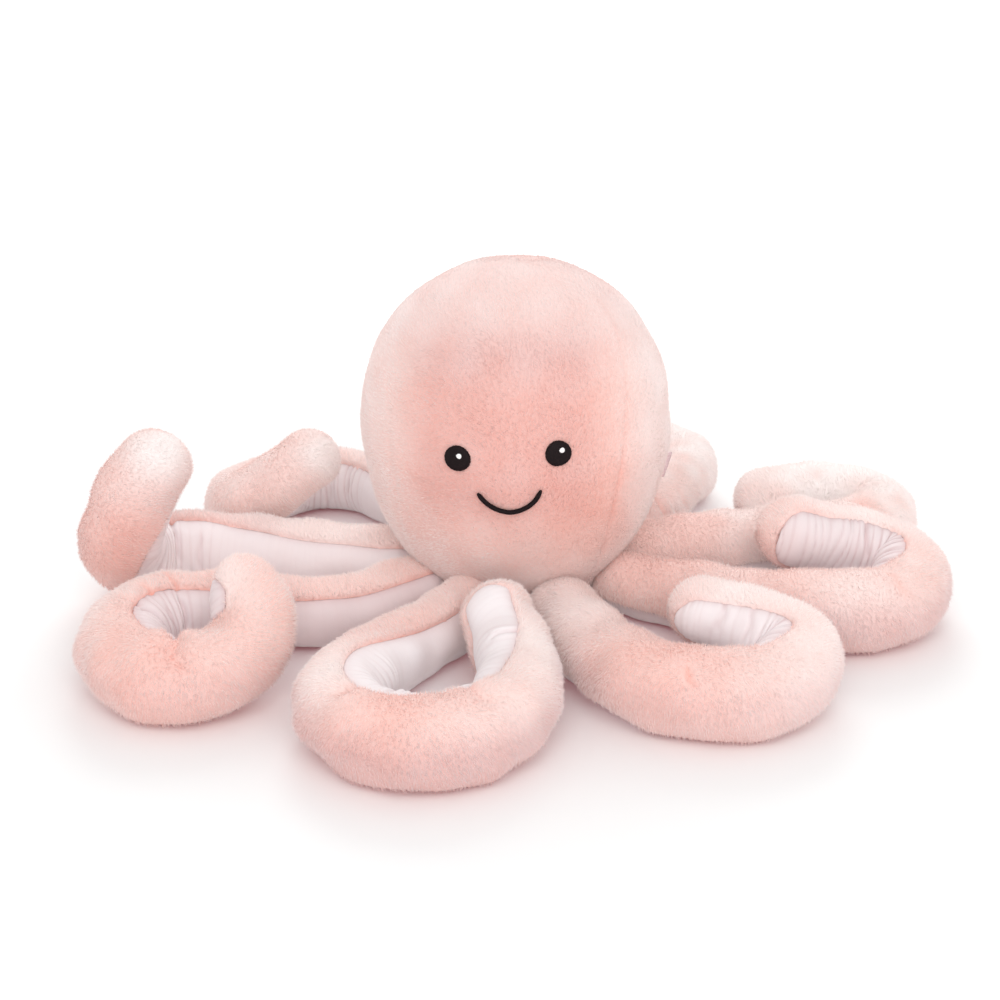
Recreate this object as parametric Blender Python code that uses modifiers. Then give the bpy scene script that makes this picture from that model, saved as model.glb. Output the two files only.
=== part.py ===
# Plush octopus: a balloon head sewn from four plush panels over stuffing, a flat base
# panel, and eight curled arms, each a plush sleeve, a smooth underside strip and stuffing.
# Metres, +Z up. The toy faces -Y, +X is to the right of someone facing it, and the
# origin is the middle of the flat underside.
import math

import bmesh
import bpy
import numpy as np
from mathutils import Matrix, Vector

MM = 0.001

# Head: radius and height of the balloon's outer fabric, bottom to top, in mm
HEAD_PROFILE = ((44, 0), (52, 10), (62, 27), (70.8, 39), (80.2, 57), (87, 75), (91.2, 93),
                (94, 111), (93.5, 126), (90.5, 146), (83.8, 165), (71.3, 185), (55, 199.5),
                (32, 210.5), (0, 216))
HEAD_FACING = -93.0              # azimuth of the face in degrees, a little to one side
HEAD_TILT = 3.2                  # the face leans this many degrees to one side
FRONT_SEAM, BACK_SEAM = 48.0, 122.0   # seams between panels, in degrees from the face
PANEL_THICKNESS = 2.2 * MM
HEAD_SEAM_GAP = 0.9 * MM
CLEARANCE = 0.3 * MM
CROWN_HOLE = 3.0 * MM            # the panels' points stop this far from the top
PANEL_ROWS = 10
STUFFING_INSET = 4.6 * MM
STUFFING_ROWS, STUFFING_STEPS = 10, 24
STUFFING_TOP_RADIUS = 4.0 * MM   # where the filling's flat top ends
STUFFING_BASE_SPACE = 2.0 * MM

BASE_RADIUS = 41.5 * MM
BASE_THICKNESS = 2.0 * MM
BASE_STEPS = 24
BASE_CHAMFER, BASE_RIM = 1.5 * MM, 0.4 * MM   # in from the radius, above and at the edge
BASE_RIM_SHARE = 0.6             # share of the thickness where the chamfer starts

# Face, in mm along the head's surface: across from its middle line, and height
EYE_ACROSS, EYE_HEIGHT, EYE_RADIUS = 28.7, 127.0, 7.1
HIGHLIGHT_SHIFT, HIGHLIGHT_RADIUS = (1.4, 2.4), 1.5
SMILE_HALF_WIDTH, SMILE_LOW, SMILE_HIGH = 18.0, 93.7, 106.4
SMILE_THREAD = 1.3
SMILE_POINTS = 15
DISC_STEPS = 16
EDGE_SHARE = 0.3                 # a rounded edge's width as a share of the thickness
EMBROIDERY_THICKNESS = 1.0 * MM
HIGHLIGHT_THICKNESS = 0.5 * MM
EMBROIDERY_LIFT = 0.9 * MM       # clear of the faceted panel behind it

LABEL_LENGTH, LABEL_HEIGHT, LABEL_THICKNESS = 22 * MM, 16 * MM, 1.2 * MM
LABEL_MIDDLE_HEIGHT = 78 * MM

# Arms
HINGE_RADIUS = 75 * MM           # every arm bends where it leaves the body, on this circle
HINGE_HEIGHT = 21 * MM
ROOT_RADIUS = 19.5 * MM          # the sleeve's round end, turning in its socket
SOCKET_SPACE = 0.9 * MM
SOCKET_STEPS = 12
SOCKET_REACH = 26 * MM           # a lifted sleeve is cleared out to here
FLOOR_CUT = 0.5 * MM             # fabric pressed flat where an arm lies
FABRIC_THICKNESS = 2.0 * MM
ARM_SEAM_GAP = 0.9 * MM
RING_SPACING = 29 * MM           # on a straight stretch
RING_TURN = math.radians(66)     # and in a bend that starts at once
PLUSH_STEPS, UNDERSIDE_STEPS = 6, 3
UNDERSIDE_HALF_WIDTH = 75.0      # degrees round the sleeve, either side of the strip's middle
TONGUE_START = 0.75              # share of the length where the strip narrows to a tongue
TONGUE_END_SHARE = 0.7           # of the tongue's half width, on the first ring of the tip
ROOT_LEANS = (-62, -31)          # rings of the round root, in degrees from its equator
TIP_LEANS = (28, 56, 90)         # rings of the round tip, the strip ending at the second
TONGUE_GAP = 1.2 * MM
CORE_SHARE = 0.76                # stuffing's radius as a share of the sleeve's inside

# Each route: x, y, height of the underside over the floor, radius, all in mm, and which
# way the middle of the underside strip faces: 0 to the inner side of the curl, -90 down.
# tongue is the strip's half width near the tip, in degrees round the sleeve.
ARMS = {
    "front_left_arm": {"azimuth": -114, "lift": 35, "start_facing": -31,
                       "tongue": 43, "route": (
        (-47, -96, 0, 20, -31), (-71, -130, 0, 21, -24), (-92, -167, 0, 23.5, 2),
        (-94, -204, 0, 24.5, 10), (-73, -230, 0, 24.5, 6), (-44, -235, 0, 25, -4),
        (-16, -222, 1, 24.5, -4), (-1, -193, 3, 23.5, 8), (-1, -153, 7, 22.5, 40),
        (-11, -118, 19, 20.5, 68))},
    "front_right_arm": {"azimuth": -69, "lift": 15, "start_facing": -85,
                        "tongue": 44, "route": (
        (36, -100, 0, 22, -85), (50, -137, 0, 23, -70), (73, -170, 0, 24.5, -45),
        (102, -183, 0, 25, -20), (134, -178, 0, 24.5, -4), (154, -160, 2.5, 24.5, 8),
        (156, -139, 7.5, 23.5, 16), (137, -124, 13.5, 22.5, 21), (109, -113, 19, 20.5, 24))},
    "right_front_arm": {"azimuth": -26, "lift": 40, "start_facing": -80,
                        "tongue": 58, "route": (
        (106, -51, 0, 21, -80), (148, -69, 0, 22.5, -60), (187, -79, 0, 24.5, -38),
        (219, -75, 0, 24.5, -20), (240, -48, 1, 24.5, 3), (236, -17, 6, 23.5, 14),
        (207, -10, 14, 23, 20), (171, -15, 26, 21.5, 26))},
    "right_back_arm": {"azimuth": 12, "lift": 20, "start_facing": -80,
                       "tongue": 60, "route": (
        (118, 28, 0, 20.5, -80), (165, 36, 0, 21, -82), (208, 40, 0, 22, -85),
        (238, 57, 0, 22.5, -85), (245, 82, 1, 22.5, -85), (227, 98, 3, 22, -85),
        (197, 100, 5, 21.5, -85), (170, 93, 6, 20.5, -80))},
    "back_right_arm": {"azimuth": 50, "lift": 40, "start_facing": -60,
                       "tongue": 60, "route": (
        (84, 88, 0, 20, -60), (112, 136, 0, 21, -55), (123, 168, 0, 22, -40),
        (108, 190, 0, 22, -25), (76, 188, 0, 21.5, -15), (46, 168, 1, 21, -5),
        (28, 138, 4, 20, 0))},
    "back_left_arm": {"azimuth": 120, "lift": 15, "start_facing": -35,
                      "tongue": 60, "route": (
        (-72, 104, 0, 20.5, -30), (-106, 138, 0, 21, -22), (-142, 143, 0, 21.5, -19),
        (-172, 121, 0, 22.5, -10), (-186, 95, 1, 23, -5), (-178, 74, 8, 22.5, -5),
        (-158, 67, 25, 21.5, -5), (-137, 72, 41, 20.5, -5))},
    "left_back_arm": {"azimuth": 177, "lift": 40, "start_facing": -31,
                      "tongue": 60, "route": (
        (-122, 12, 0, 20.5, -28), (-165, 18, 0, 21.5, -15), (-202, 19, 0, 22.5, 0),
        (-230, 9, 1, 23.5, 10), (-243, -9, 7, 24, 25), (-243, -25, 23, 24, 40),
        (-237, -29, 41, 24.5, 52), (-229, -25, 57, 24.5, 60), (-221, -19, 70, 22.5, 60))},
    "left_front_arm": {"azimuth": -147, "lift": 35, "start_facing": -31,
                       "tongue": 60, "route": (
        (-100, -67, 0, 20.5, -31), (-138, -74, 0, 21.5, -31), (-178, -73, 0, 22.5, -20),
        (-210, -83, 0, 23.5, -8), (-226, -112, 0, 24.5, -4), (-218, -147, 0, 24.5, -8),
        (-195, -166, 0, 24.5, -12), (-170, -162, 2, 24, -12), (-153, -147, 8.5, 23.5, -8),
        (-147, -133, 20.5, 22.5, 6), (-153, -121, 35.5, 20.5, 26))},
}

ROUTE_SAMPLES = 30               # points read from each stretch of a route's curve
ROUTE_SMOOTHING = 60             # passes that even out the curve's bends
SHARP_EDGE = math.radians(50)
FLOOR_SIZE, FLOOR_DEPTH = 0.8, 0.1

COLOURS = {
    "plush_pink": ((0.89, 0.62, 0.57), 0.95),
    "smooth_white": ((0.89, 0.85, 0.86), 0.75),
    "black_thread": ((0.012, 0.009, 0.01), 0.55),
    "white_thread": ((0.9, 0.9, 0.9), 0.6),
    "polyester_fill": ((0.93, 0.93, 0.92), 1.0),
    "label_tape": ((0.78, 0.75, 0.77), 0.6),
}


def clear_scene():
    for obj in list(bpy.data.objects):
        bpy.data.objects.remove(obj, do_unlink=True)


def new_collection(name):
    collection = bpy.data.collections.new(name)
    bpy.context.scene.collection.children.link(collection)
    return collection


def move_to(collection, obj):
    for owner in list(obj.users_collection):
        owner.objects.unlink(obj)
    collection.objects.link(obj)


def material(name):
    found = bpy.data.materials.get(name)
    if found:
        return found
    colour, roughness = COLOURS[name]
    made = bpy.data.materials.new(name)
    made.use_nodes = True
    shader = made.node_tree.nodes["Principled BSDF"]
    shader.inputs["Base Color"].default_value = (*colour, 1.0)
    shader.inputs["Roughness"].default_value = roughness
    shader.inputs["Metallic"].default_value = 0.0
    made.diffuse_color = (*colour, 1.0)
    return made


def add_mesh(name, points, faces, collection, slot, edges=()):
    mesh = bpy.data.meshes.new(name)
    mesh.from_pydata([tuple(p) for p in points], edges, faces)
    mesh.update()
    obj = bpy.data.objects.new(name, mesh)
    collection.objects.link(obj)
    mesh.materials.append(material(slot))
    mesh.shade_smooth()
    mesh.set_sharp_from_angle(angle=SHARP_EDGE)
    return obj


def weld(obj):
    """Joins points that lie on each other and points every face out."""
    work = bmesh.new()
    work.from_mesh(obj.data)
    bmesh.ops.remove_doubles(work, verts=work.verts, dist=0.01 * MM)
    bmesh.ops.recalc_face_normals(work, faces=work.faces)
    work.to_mesh(obj.data)
    work.free()


def solidify(obj, thickness):
    wall = obj.modifiers.new("fabric", "SOLIDIFY")
    wall.thickness = thickness
    wall.offset = -1.0
    wall.use_even_offset = True


def cut(obj, cutter, name):
    boolean = obj.modifiers.new(name, "BOOLEAN")
    boolean.operation = "DIFFERENCE"
    boolean.solver = "EXACT"
    boolean.object = cutter


def as_cutter(obj):
    obj.hide_render = True
    obj.display_type = "WIRE"


def curve_through(rows):
    """A smooth curve through rows of numbers: centripetal Catmull-Rom, then evened out."""
    rows = np.asarray(rows, float)
    ends = np.vstack([2 * rows[0] - rows[1], rows, 2 * rows[-1] - rows[-2]])
    found = []
    for a, b, c, d in zip(ends[:-3], ends[1:-2], ends[2:-1], ends[3:]):
        steps = [np.linalg.norm(q[:3] - p[:3]) ** 0.5 for p, q in ((a, b), (b, c), (c, d))]
        t1 = steps[0]
        t2 = t1 + steps[1]
        t3 = t2 + steps[2]
        t = np.linspace(t1, t2, ROUTE_SAMPLES, endpoint=False)[:, None]
        ab = ((t1 - t) * a + t * b) / t1
        bc = ((t2 - t) * b + (t - t1) * c) / (t2 - t1)
        cd = ((t3 - t) * c + (t - t2) * d) / (t3 - t2)
        abc = ((t2 - t) * ab + t * bc) / t2
        bcd = ((t3 - t) * bc + (t - t1) * cd) / (t3 - t1)
        found.append(((t2 - t) * abc + (t - t1) * bcd) / (t2 - t1))
    return np.vstack(found + [rows[-1:]])


def even_steps(rows, count):
    """The same curve at this many points, evenly spaced along its length."""
    length = np.r_[0, np.cumsum(np.linalg.norm(np.diff(rows[:, :3], axis=0), axis=1))]
    at = np.linspace(0, length[-1], count)
    return np.column_stack([np.interp(at, length, column) for column in rows.T])


def arm_route(arm):
    """The arm's middle line as many close rows: x, y, z and radius in metres, and the
    strip's facing in degrees."""
    azimuth = math.radians(arm["azimuth"])
    start = (HINGE_RADIUS * math.cos(azimuth), HINGE_RADIUS * math.sin(azimuth),
             HINGE_HEIGHT, ROOT_RADIUS, arm["start_facing"])
    rows = [start]
    for x, y, rise, radius, facing in arm["route"]:
        rows.append((x * MM, y * MM, (rise + radius) * MM - FLOOR_CUT, radius * MM, facing))
    rows = curve_through(rows)
    rows = even_steps(rows, len(rows))
    for _ in range(ROUTE_SMOOTHING):
        rows[1:-1] = (rows[:-2] + 2 * rows[1:-1] + rows[2:]) / 4
    return rows


def ring_rows(rows):
    """Where the rings go, nearer to each other the more the route bends: the route's rows
    there and its forward, up and inward directions, carried along without twisting."""
    steps = np.diff(rows[:, :3], axis=0)
    lengths = np.linalg.norm(steps, axis=1)
    forward = steps / lengths[:, None]
    turns = np.arccos(np.clip((forward[1:] * forward[:-1]).sum(axis=1), -1, 1))
    counted = np.r_[0, np.cumsum(lengths / RING_SPACING + np.r_[0, turns] / RING_TURN)]
    at = np.linspace(0, counted[-1], round(counted[-1]) + 1)
    forward = np.vstack([forward[:1], (forward[1:] + forward[:-1]) / 2, forward[-1:]])
    up = np.array([0.0, 0.0, 1.0])
    ups = []
    for direction in forward:
        up = up - direction * (up @ direction) / (direction @ direction)
        up /= np.linalg.norm(up)
        ups.append(up)
    found = np.column_stack([np.interp(at, counted, column)
                             for column in np.column_stack([rows, forward, ups]).T])
    forward = found[:, 5:8] / np.linalg.norm(found[:, 5:8], axis=1)[:, None]
    up = found[:, 8:11] / np.linalg.norm(found[:, 8:11], axis=1)[:, None]
    return found[:, :5], forward, up, np.cross(up, forward)


def sleeve_rings(arm):
    """Rings of the sleeve from its round root to its round tip, one dictionary each. A ring
    on a round end keeps the end's centre, and lean is its angle from the end's equator."""
    rows, forward, up, inward = ring_rows(arm_route(arm))
    share = np.linspace(0, 1, len(rows))
    narrowing = np.clip((share - TONGUE_START) / (1 - TONGUE_START), 0, 1)
    half = UNDERSIDE_HALF_WIDTH + (arm["tongue"] - UNDERSIDE_HALF_WIDTH) * narrowing
    last = len(rows) - 1
    order = [(0, lean, half[0]) for lean in ROOT_LEANS]
    order += [(i, 0, half[i]) for i in range(len(rows))]
    tip_widths = (TONGUE_END_SHARE * arm["tongue"], 0, 0)
    order += [(last, lean, width) for lean, width in zip(TIP_LEANS, tip_widths)]
    return [{"centre": rows[i, :3], "forward": forward[i], "up": up[i], "inward": inward[i],
             "radius": rows[i, 3], "facing": math.radians(rows[i, 4]),
             "lean": math.radians(lean), "half": math.radians(width)}
            for i, lean, width in order]


def ring_points(ring, start, end, steps, depth):
    """Points round a ring between two angles from the strip's middle, this deep inside."""
    angles = ring["facing"] + np.linspace(start, end, steps + 1)
    round_ring = (np.cos(angles)[:, None] * ring["inward"]
                  + np.sin(angles)[:, None] * ring["up"])
    lean = ring["lean"]
    return ring["centre"] + (ring["radius"] - depth) * (math.cos(lean) * round_ring
                                                        + math.sin(lean) * ring["forward"])


def grid_faces(rows, columns):
    return [(i * columns + j, i * columns + j + 1, (i + 1) * columns + j + 1, (i + 1) * columns + j)
            for i in range(rows - 1) for j in range(columns - 1)]


def fabric_strip(name, outer, inner, collection, slot, floor):
    """A thick strip lofted through unlike sections: outer and inner hold a row of points
    for each section. Where a row's two ends meet, the strip closes on itself."""
    rows, columns = len(outer), len(outer[0])
    count = rows * columns
    faces = grid_faces(rows, columns)
    faces += [tuple(count + i for i in face[::-1]) for face in faces]
    meets = [np.linalg.norm(row[0] - row[-1]) < 0.1 * ARM_SEAM_GAP for row in outer]
    for i in range(rows - 1):
        if meets[i] and meets[i + 1]:
            continue
        for j in (0, columns - 1):
            a, b = i * columns + j, (i + 1) * columns + j
            faces.append((a, b, count + b, count + a) if j == 0 else (b, a, count + a, count + b))
    for i, end in ((0, False), (rows - 1, True)):
        if end and meets[i]:
            continue
        for j in range(columns - 1):
            a = i * columns + j
            edge = (a, a + 1) if end else (a + 1, a)
            faces.append((edge[0], edge[1], count + edge[1], count + edge[0]))
    obj = add_mesh(name, np.vstack(list(outer) + list(inner)), faces, collection, slot)
    weld(obj)
    cut(obj, floor, "pressed flat")
    return obj


def arm_plush(name, rings, collection, floor):
    """The plush sleeve, open along the strip and closed round the tip."""
    sides = []
    for depth in (0, FABRIC_THICKNESS):
        rows = []
        for ring in rings:
            start = ring["half"] + (ARM_SEAM_GAP / 2 / ring["radius"] if ring["half"] else 0)
            rows.append(ring_points(ring, start, 2 * math.pi - start, PLUSH_STEPS, depth))
        sides.append(rows)
    return fabric_strip(name + "_plush", *sides, collection, "plush_pink", floor)


def arm_underside(name, rings, collection, floor):
    """The smooth strip in the sleeve's opening, ending in a tongue before the tip."""
    sides = []
    for depth in (0, FABRIC_THICKNESS):
        rows = []
        for ring in rings[:-2]:
            half = ring["half"] - ARM_SEAM_GAP / 2 / ring["radius"]
            rows.append(ring_points(ring, -half, half, UNDERSIDE_STEPS, depth))
        tongue_tip = dict(rings[-2], lean=rings[-2]["lean"] - TONGUE_GAP / rings[-2]["radius"])
        rows.append(ring_points(tongue_tip, 0, 0, UNDERSIDE_STEPS, depth))
        sides.append(rows)
    return fabric_strip(name + "_underside", *sides, collection, "smooth_white", floor)


def arm_stuffing(name, rings, collection):
    """Filling inside the sleeve: a tapering tube along the same rings."""
    curve = bpy.data.curves.new(name + "_stuffing", "CURVE")
    curve.dimensions = "3D"
    curve.bevel_depth = ROOT_RADIUS
    curve.bevel_resolution = 1
    curve.use_fill_caps = True
    line = curve.splines.new("POLY")
    inner = [ring for ring in rings if ring["lean"] == 0]
    line.points.add(len(inner) - 1)
    for point, ring in zip(line.points, inner):
        point.co = (*ring["centre"], 1.0)
        point.radius = (ring["radius"] - FABRIC_THICKNESS) * CORE_SHARE / ROOT_RADIUS
    obj = bpy.data.objects.new(name + "_stuffing", curve)
    curve.materials.append(material("polyester_fill"))
    collection.objects.link(obj)
    return obj


def sphere_points(centre, radius, steps=SOCKET_STEPS):
    """Points on a ball, in rings from pole to pole."""
    points = [centre + Vector((0, 0, radius)), centre - Vector((0, 0, radius))]
    for i in range(1, steps // 2):
        height = math.pi * i / (steps // 2)
        for j in range(steps):
            turn = 2 * math.pi * j / steps
            points.append(centre + radius * Vector((math.sin(height) * math.cos(turn),
                                                    math.sin(height) * math.sin(turn),
                                                    math.cos(height))))
    return points


def socket_cutter(name, arm, collection):
    """The room that an arm's round end needs in the body, at rest and lifted."""
    azimuth = math.radians(arm["azimuth"])
    outward = Vector((math.cos(azimuth), math.sin(azimuth), 0))
    axis = Vector((math.sin(azimuth), -math.cos(azimuth), 0))
    hinge = outward * HINGE_RADIUS + Vector((0, 0, HINGE_HEIGHT))
    ahead = arm_route(arm)[:2, :3]
    reach = Vector(ahead[1] - ahead[0]).normalized() * SOCKET_REACH
    # a many-sided ball's flats lie inside its radius by this share
    ball = (ROOT_RADIUS + SOCKET_SPACE) / math.cos(math.pi / SOCKET_STEPS) ** 2
    points = sphere_points(hinge, ball)
    for angle in (0, arm["lift"] / 2, arm["lift"]):
        turned_reach = Matrix.Rotation(math.radians(angle), 3, axis) @ reach
        points += sphere_points(hinge + turned_reach, ball)
    work = bmesh.new()
    verts = [work.verts.new(p) for p in points]
    result = bmesh.ops.convex_hull(work, input=verts)
    bmesh.ops.delete(work, geom=result["geom_interior"], context="VERTS")
    bmesh.ops.recalc_face_normals(work, faces=work.faces)
    mesh = bpy.data.meshes.new(name + "_socket")
    work.to_mesh(mesh)
    work.free()
    obj = bpy.data.objects.new(name + "_socket", mesh)
    collection.objects.link(obj)
    as_cutter(obj)
    return obj


def head_curve():
    profile = curve_through([(r * MM, 0, z * MM) for r, z in HEAD_PROFILE])
    return np.column_stack([profile[:, 0], profile[:, 2]])


def head_panel(name, start, end, steps, collection):
    """One plush panel between two seams, from the bottom edge to the crown."""
    profile = head_curve()
    profile = profile[profile[:, 0] > CROWN_HOLE]
    length = np.r_[0, np.cumsum(np.linalg.norm(np.diff(profile, axis=0), axis=1))]
    at = np.linspace(0, length[-1], PANEL_ROWS + 1)
    radius, height = (np.interp(at, length, column) for column in profile.T)
    points = []
    for r, z in zip(radius, height):
        gap = HEAD_SEAM_GAP / 2 / r
        angles = np.linspace(math.radians(start) + gap, math.radians(end) - gap, steps + 1)
        points.extend(np.column_stack([r * np.cos(angles), r * np.sin(angles),
                                       np.full(len(angles), z)]))
    obj = add_mesh(name, points, grid_faces(len(radius), steps + 1), collection, "plush_pink")
    solidify(obj, PANEL_THICKNESS)
    return obj


def turned(name, profile, steps, collection, slot):
    """A solid of revolution round Z from (radius, height) points, top to bottom."""
    edges = [(i, i + 1) for i in range(len(profile) - 1)]
    obj = add_mesh(name, [(r, 0, z) for r, z in profile], [], collection, slot, edges)
    screw = obj.modifiers.new("turned", "SCREW")
    screw.steps = screw.render_steps = steps
    screw.use_merge_vertices = True
    screw.merge_threshold = 0.0001
    return obj


def head_stuffing(collection):
    profile = head_curve()[::-1]
    outward = np.gradient(profile, axis=0)
    outward = np.column_stack([-outward[:, 1], outward[:, 0]])
    outward /= np.linalg.norm(outward, axis=1)[:, None]
    inner = profile - outward * STUFFING_INSET
    inner = inner[(inner[:, 0] > STUFFING_TOP_RADIUS)
                  & (inner[:, 1] > BASE_THICKNESS + STUFFING_BASE_SPACE)]
    length = np.r_[0, np.cumsum(np.linalg.norm(np.diff(inner, axis=0), axis=1))]
    at = np.linspace(0, length[-1], STUFFING_ROWS)
    inner = np.column_stack([np.interp(at, length, column) for column in inner.T])
    top = [(0, inner[0, 1])]
    bottom = [(0, inner[-1, 1])]
    return turned("head_stuffing", top + [tuple(p) for p in inner] + bottom, STUFFING_STEPS,
                  collection, "polyester_fill")


def base_panel(collection):
    rim = BASE_RADIUS - BASE_RIM
    profile = ((0, BASE_THICKNESS), (BASE_RADIUS - BASE_CHAMFER, BASE_THICKNESS),
               (rim, BASE_RIM_SHARE * BASE_THICKNESS), (rim, 0), (0, 0))
    return turned("base_panel", profile, BASE_STEPS, collection, "smooth_white")


def on_head(across, height, lift=0.0):
    """Place and outward direction on the head, from mm across the face and mm height,
    leant by the head's tilt round the middle of the face."""
    tilt = math.radians(HEAD_TILT)
    middle = (EYE_HEIGHT + SMILE_LOW) / 2
    u = across * math.cos(tilt) - (height - middle) * math.sin(tilt)
    v = middle + across * math.sin(tilt) + (height - middle) * math.cos(tilt)
    profile = head_curve()
    radius = np.interp(v * MM, profile[:, 1], profile[:, 0])
    slope = np.interp(v * MM, profile[:, 1], np.gradient(profile[:, 0], profile[:, 1]))
    azimuth = math.radians(HEAD_FACING) + u * MM / radius
    flat = Vector((math.cos(azimuth), math.sin(azimuth), 0))
    normal = (flat - Vector((0, 0, slope))).normalized()
    return flat * radius + Vector((0, 0, v * MM)) + normal * lift, normal


def disc(name, across, height, radius, thickness, lift, collection, slot):
    """A stitched round patch lying on the head."""
    place, normal = on_head(across, height, lift + thickness / 2)
    bpy.ops.mesh.primitive_cylinder_add(vertices=DISC_STEPS, radius=radius, depth=thickness)
    obj = bpy.context.object
    obj.name = obj.data.name = name
    obj.matrix_world = Matrix.Translation(place) @ normal.to_track_quat("Z", "Y").to_matrix().to_4x4()
    edge = obj.modifiers.new("rounded edge", "BEVEL")
    edge.width = thickness * EDGE_SHARE
    edge.segments = 1
    obj.data.materials.append(material(slot))
    move_to(collection, obj)
    obj.data.shade_smooth()
    obj.data.set_sharp_from_angle(angle=SHARP_EDGE)
    return obj


def smile(collection):
    """A stitched arc, part of a circle through its two ends and its lowest point."""
    rise = SMILE_HIGH - SMILE_LOW
    radius = (SMILE_HALF_WIDTH ** 2 + rise ** 2) / (2 * rise)
    half = math.asin(SMILE_HALF_WIDTH / radius)
    curve = bpy.data.curves.new("smile", "CURVE")
    curve.dimensions = "3D"
    curve.bevel_depth = SMILE_THREAD * MM
    curve.bevel_resolution = 1
    curve.use_fill_caps = True
    line = curve.splines.new("POLY")
    line.points.add(SMILE_POINTS - 1)
    for i, point in enumerate(line.points):
        angle = -half + 2 * half * i / (SMILE_POINTS - 1)
        place, _ = on_head(radius * math.sin(angle), SMILE_LOW + radius * (1 - math.cos(angle)),
                           SMILE_THREAD * MM + EMBROIDERY_LIFT / 2)
        point.co = (*place, 1.0)
    obj = bpy.data.objects.new("smile", curve)
    curve.materials.append(material("black_thread"))
    collection.objects.link(obj)
    return obj


def label(collection):
    """A blank folded tape sewn into a seam behind the head, standing straight out."""
    azimuth = math.radians(HEAD_FACING + BACK_SEAM)
    profile = head_curve()
    edge = np.interp(LABEL_MIDDLE_HEIGHT + LABEL_HEIGHT / 2, profile[:, 1], profile[:, 0])
    middle = edge + CLEARANCE + LABEL_LENGTH / 2
    bpy.ops.mesh.primitive_cube_add(size=1)
    obj = bpy.context.object
    obj.name = obj.data.name = "label"
    obj.data.transform(Matrix.Diagonal((LABEL_LENGTH, LABEL_THICKNESS, LABEL_HEIGHT, 1)))
    obj.location = (middle * math.cos(azimuth), middle * math.sin(azimuth), LABEL_MIDDLE_HEIGHT)
    obj.rotation_euler = (0, 0, azimuth)
    edges = obj.modifiers.new("soft edges", "BEVEL")
    edges.width = LABEL_THICKNESS * EDGE_SHARE
    edges.segments = 1
    obj.data.materials.append(material("label_tape"))
    move_to(collection, obj)
    return obj


def floor_cutter(collection):
    bpy.ops.mesh.primitive_cube_add(size=1, location=(0, 0, 0))
    obj = bpy.context.object
    obj.name = obj.data.name = "floor_cutter"
    obj.data.transform(Matrix.Translation((0, 0, -FLOOR_DEPTH / 2))
                       @ Matrix.Diagonal((FLOOR_SIZE, FLOOR_SIZE, FLOOR_DEPTH, 1)))
    move_to(collection, obj)
    as_cutter(obj)
    return obj


def head(collection, cutters):
    """The four panels, the filling and the base, with room for every arm's round end."""
    panels = (("head_front_panel", -FRONT_SEAM, FRONT_SEAM, 8),
              ("head_right_panel", FRONT_SEAM, BACK_SEAM, 6),
              ("head_back_panel", BACK_SEAM, 360 - BACK_SEAM, 9),
              ("head_left_panel", 360 - BACK_SEAM, 360 - FRONT_SEAM, 6))
    pieces = [head_panel(name, HEAD_FACING + start, HEAD_FACING + end, steps, collection)
              for name, start, end, steps in panels]
    pieces.append(head_stuffing(collection))
    for name, arm in ARMS.items():
        socket = socket_cutter(name, arm, cutters)
        for piece in pieces:
            cut(piece, socket, name + " socket")


def face(collection):
    for side, name in ((-1, "left_eye"), (1, "right_eye")):
        disc(name, side * EYE_ACROSS, EYE_HEIGHT, EYE_RADIUS * MM, EMBROIDERY_THICKNESS,
             EMBROIDERY_LIFT, collection, "black_thread")
        across, up = HIGHLIGHT_SHIFT
        disc(name + "_highlight", side * EYE_ACROSS + across, EYE_HEIGHT + up,
             HIGHLIGHT_RADIUS * MM, HIGHLIGHT_THICKNESS,
             EMBROIDERY_LIFT + EMBROIDERY_THICKNESS + CLEARANCE, collection, "white_thread")
    smile(collection)


def arms(collection, cutters):
    floor = floor_cutter(cutters)
    for name, arm in ARMS.items():
        rings = sleeve_rings(arm)
        azimuth = math.radians(arm["azimuth"])
        hinge = bpy.data.objects.new(name + "_hinge", None)
        hinge.location = (HINGE_RADIUS * math.cos(azimuth), HINGE_RADIUS * math.sin(azimuth),
                          HINGE_HEIGHT)
        hinge.empty_display_size = ROOT_RADIUS
        collection.objects.link(hinge)
        bpy.context.view_layer.update()
        for piece in (arm_plush(name, rings, collection, floor),
                      arm_underside(name, rings, collection, floor),
                      arm_stuffing(name, rings, collection)):
            piece.parent = hinge
            piece.matrix_parent_inverse = hinge.matrix_world.inverted()


def main():
    clear_scene()
    parts = new_collection("plush_octopus")
    cutters = new_collection("cutters")
    head(parts, cutters)
    base_panel(parts)
    face(parts)
    label(parts)
    arms(parts, cutters)


main()
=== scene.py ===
import math

import bpy
import numpy as np
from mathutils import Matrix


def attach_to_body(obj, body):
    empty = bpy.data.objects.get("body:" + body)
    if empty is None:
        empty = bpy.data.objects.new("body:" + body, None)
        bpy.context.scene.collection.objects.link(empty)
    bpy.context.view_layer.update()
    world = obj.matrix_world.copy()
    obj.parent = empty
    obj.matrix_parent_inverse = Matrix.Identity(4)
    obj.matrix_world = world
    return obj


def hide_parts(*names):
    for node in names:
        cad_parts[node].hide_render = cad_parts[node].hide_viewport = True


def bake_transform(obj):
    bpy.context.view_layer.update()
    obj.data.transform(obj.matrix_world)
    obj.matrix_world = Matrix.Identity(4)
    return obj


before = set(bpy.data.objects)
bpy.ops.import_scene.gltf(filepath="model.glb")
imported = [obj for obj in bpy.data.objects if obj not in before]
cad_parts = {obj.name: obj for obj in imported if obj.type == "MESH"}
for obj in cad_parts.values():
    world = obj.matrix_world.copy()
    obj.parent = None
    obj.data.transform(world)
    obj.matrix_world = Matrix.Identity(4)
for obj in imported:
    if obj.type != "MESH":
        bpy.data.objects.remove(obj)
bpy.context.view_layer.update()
mm = 0.001


# Maths. Shapes are worked out in millimetres, and makePiece turns them to metres

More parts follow.
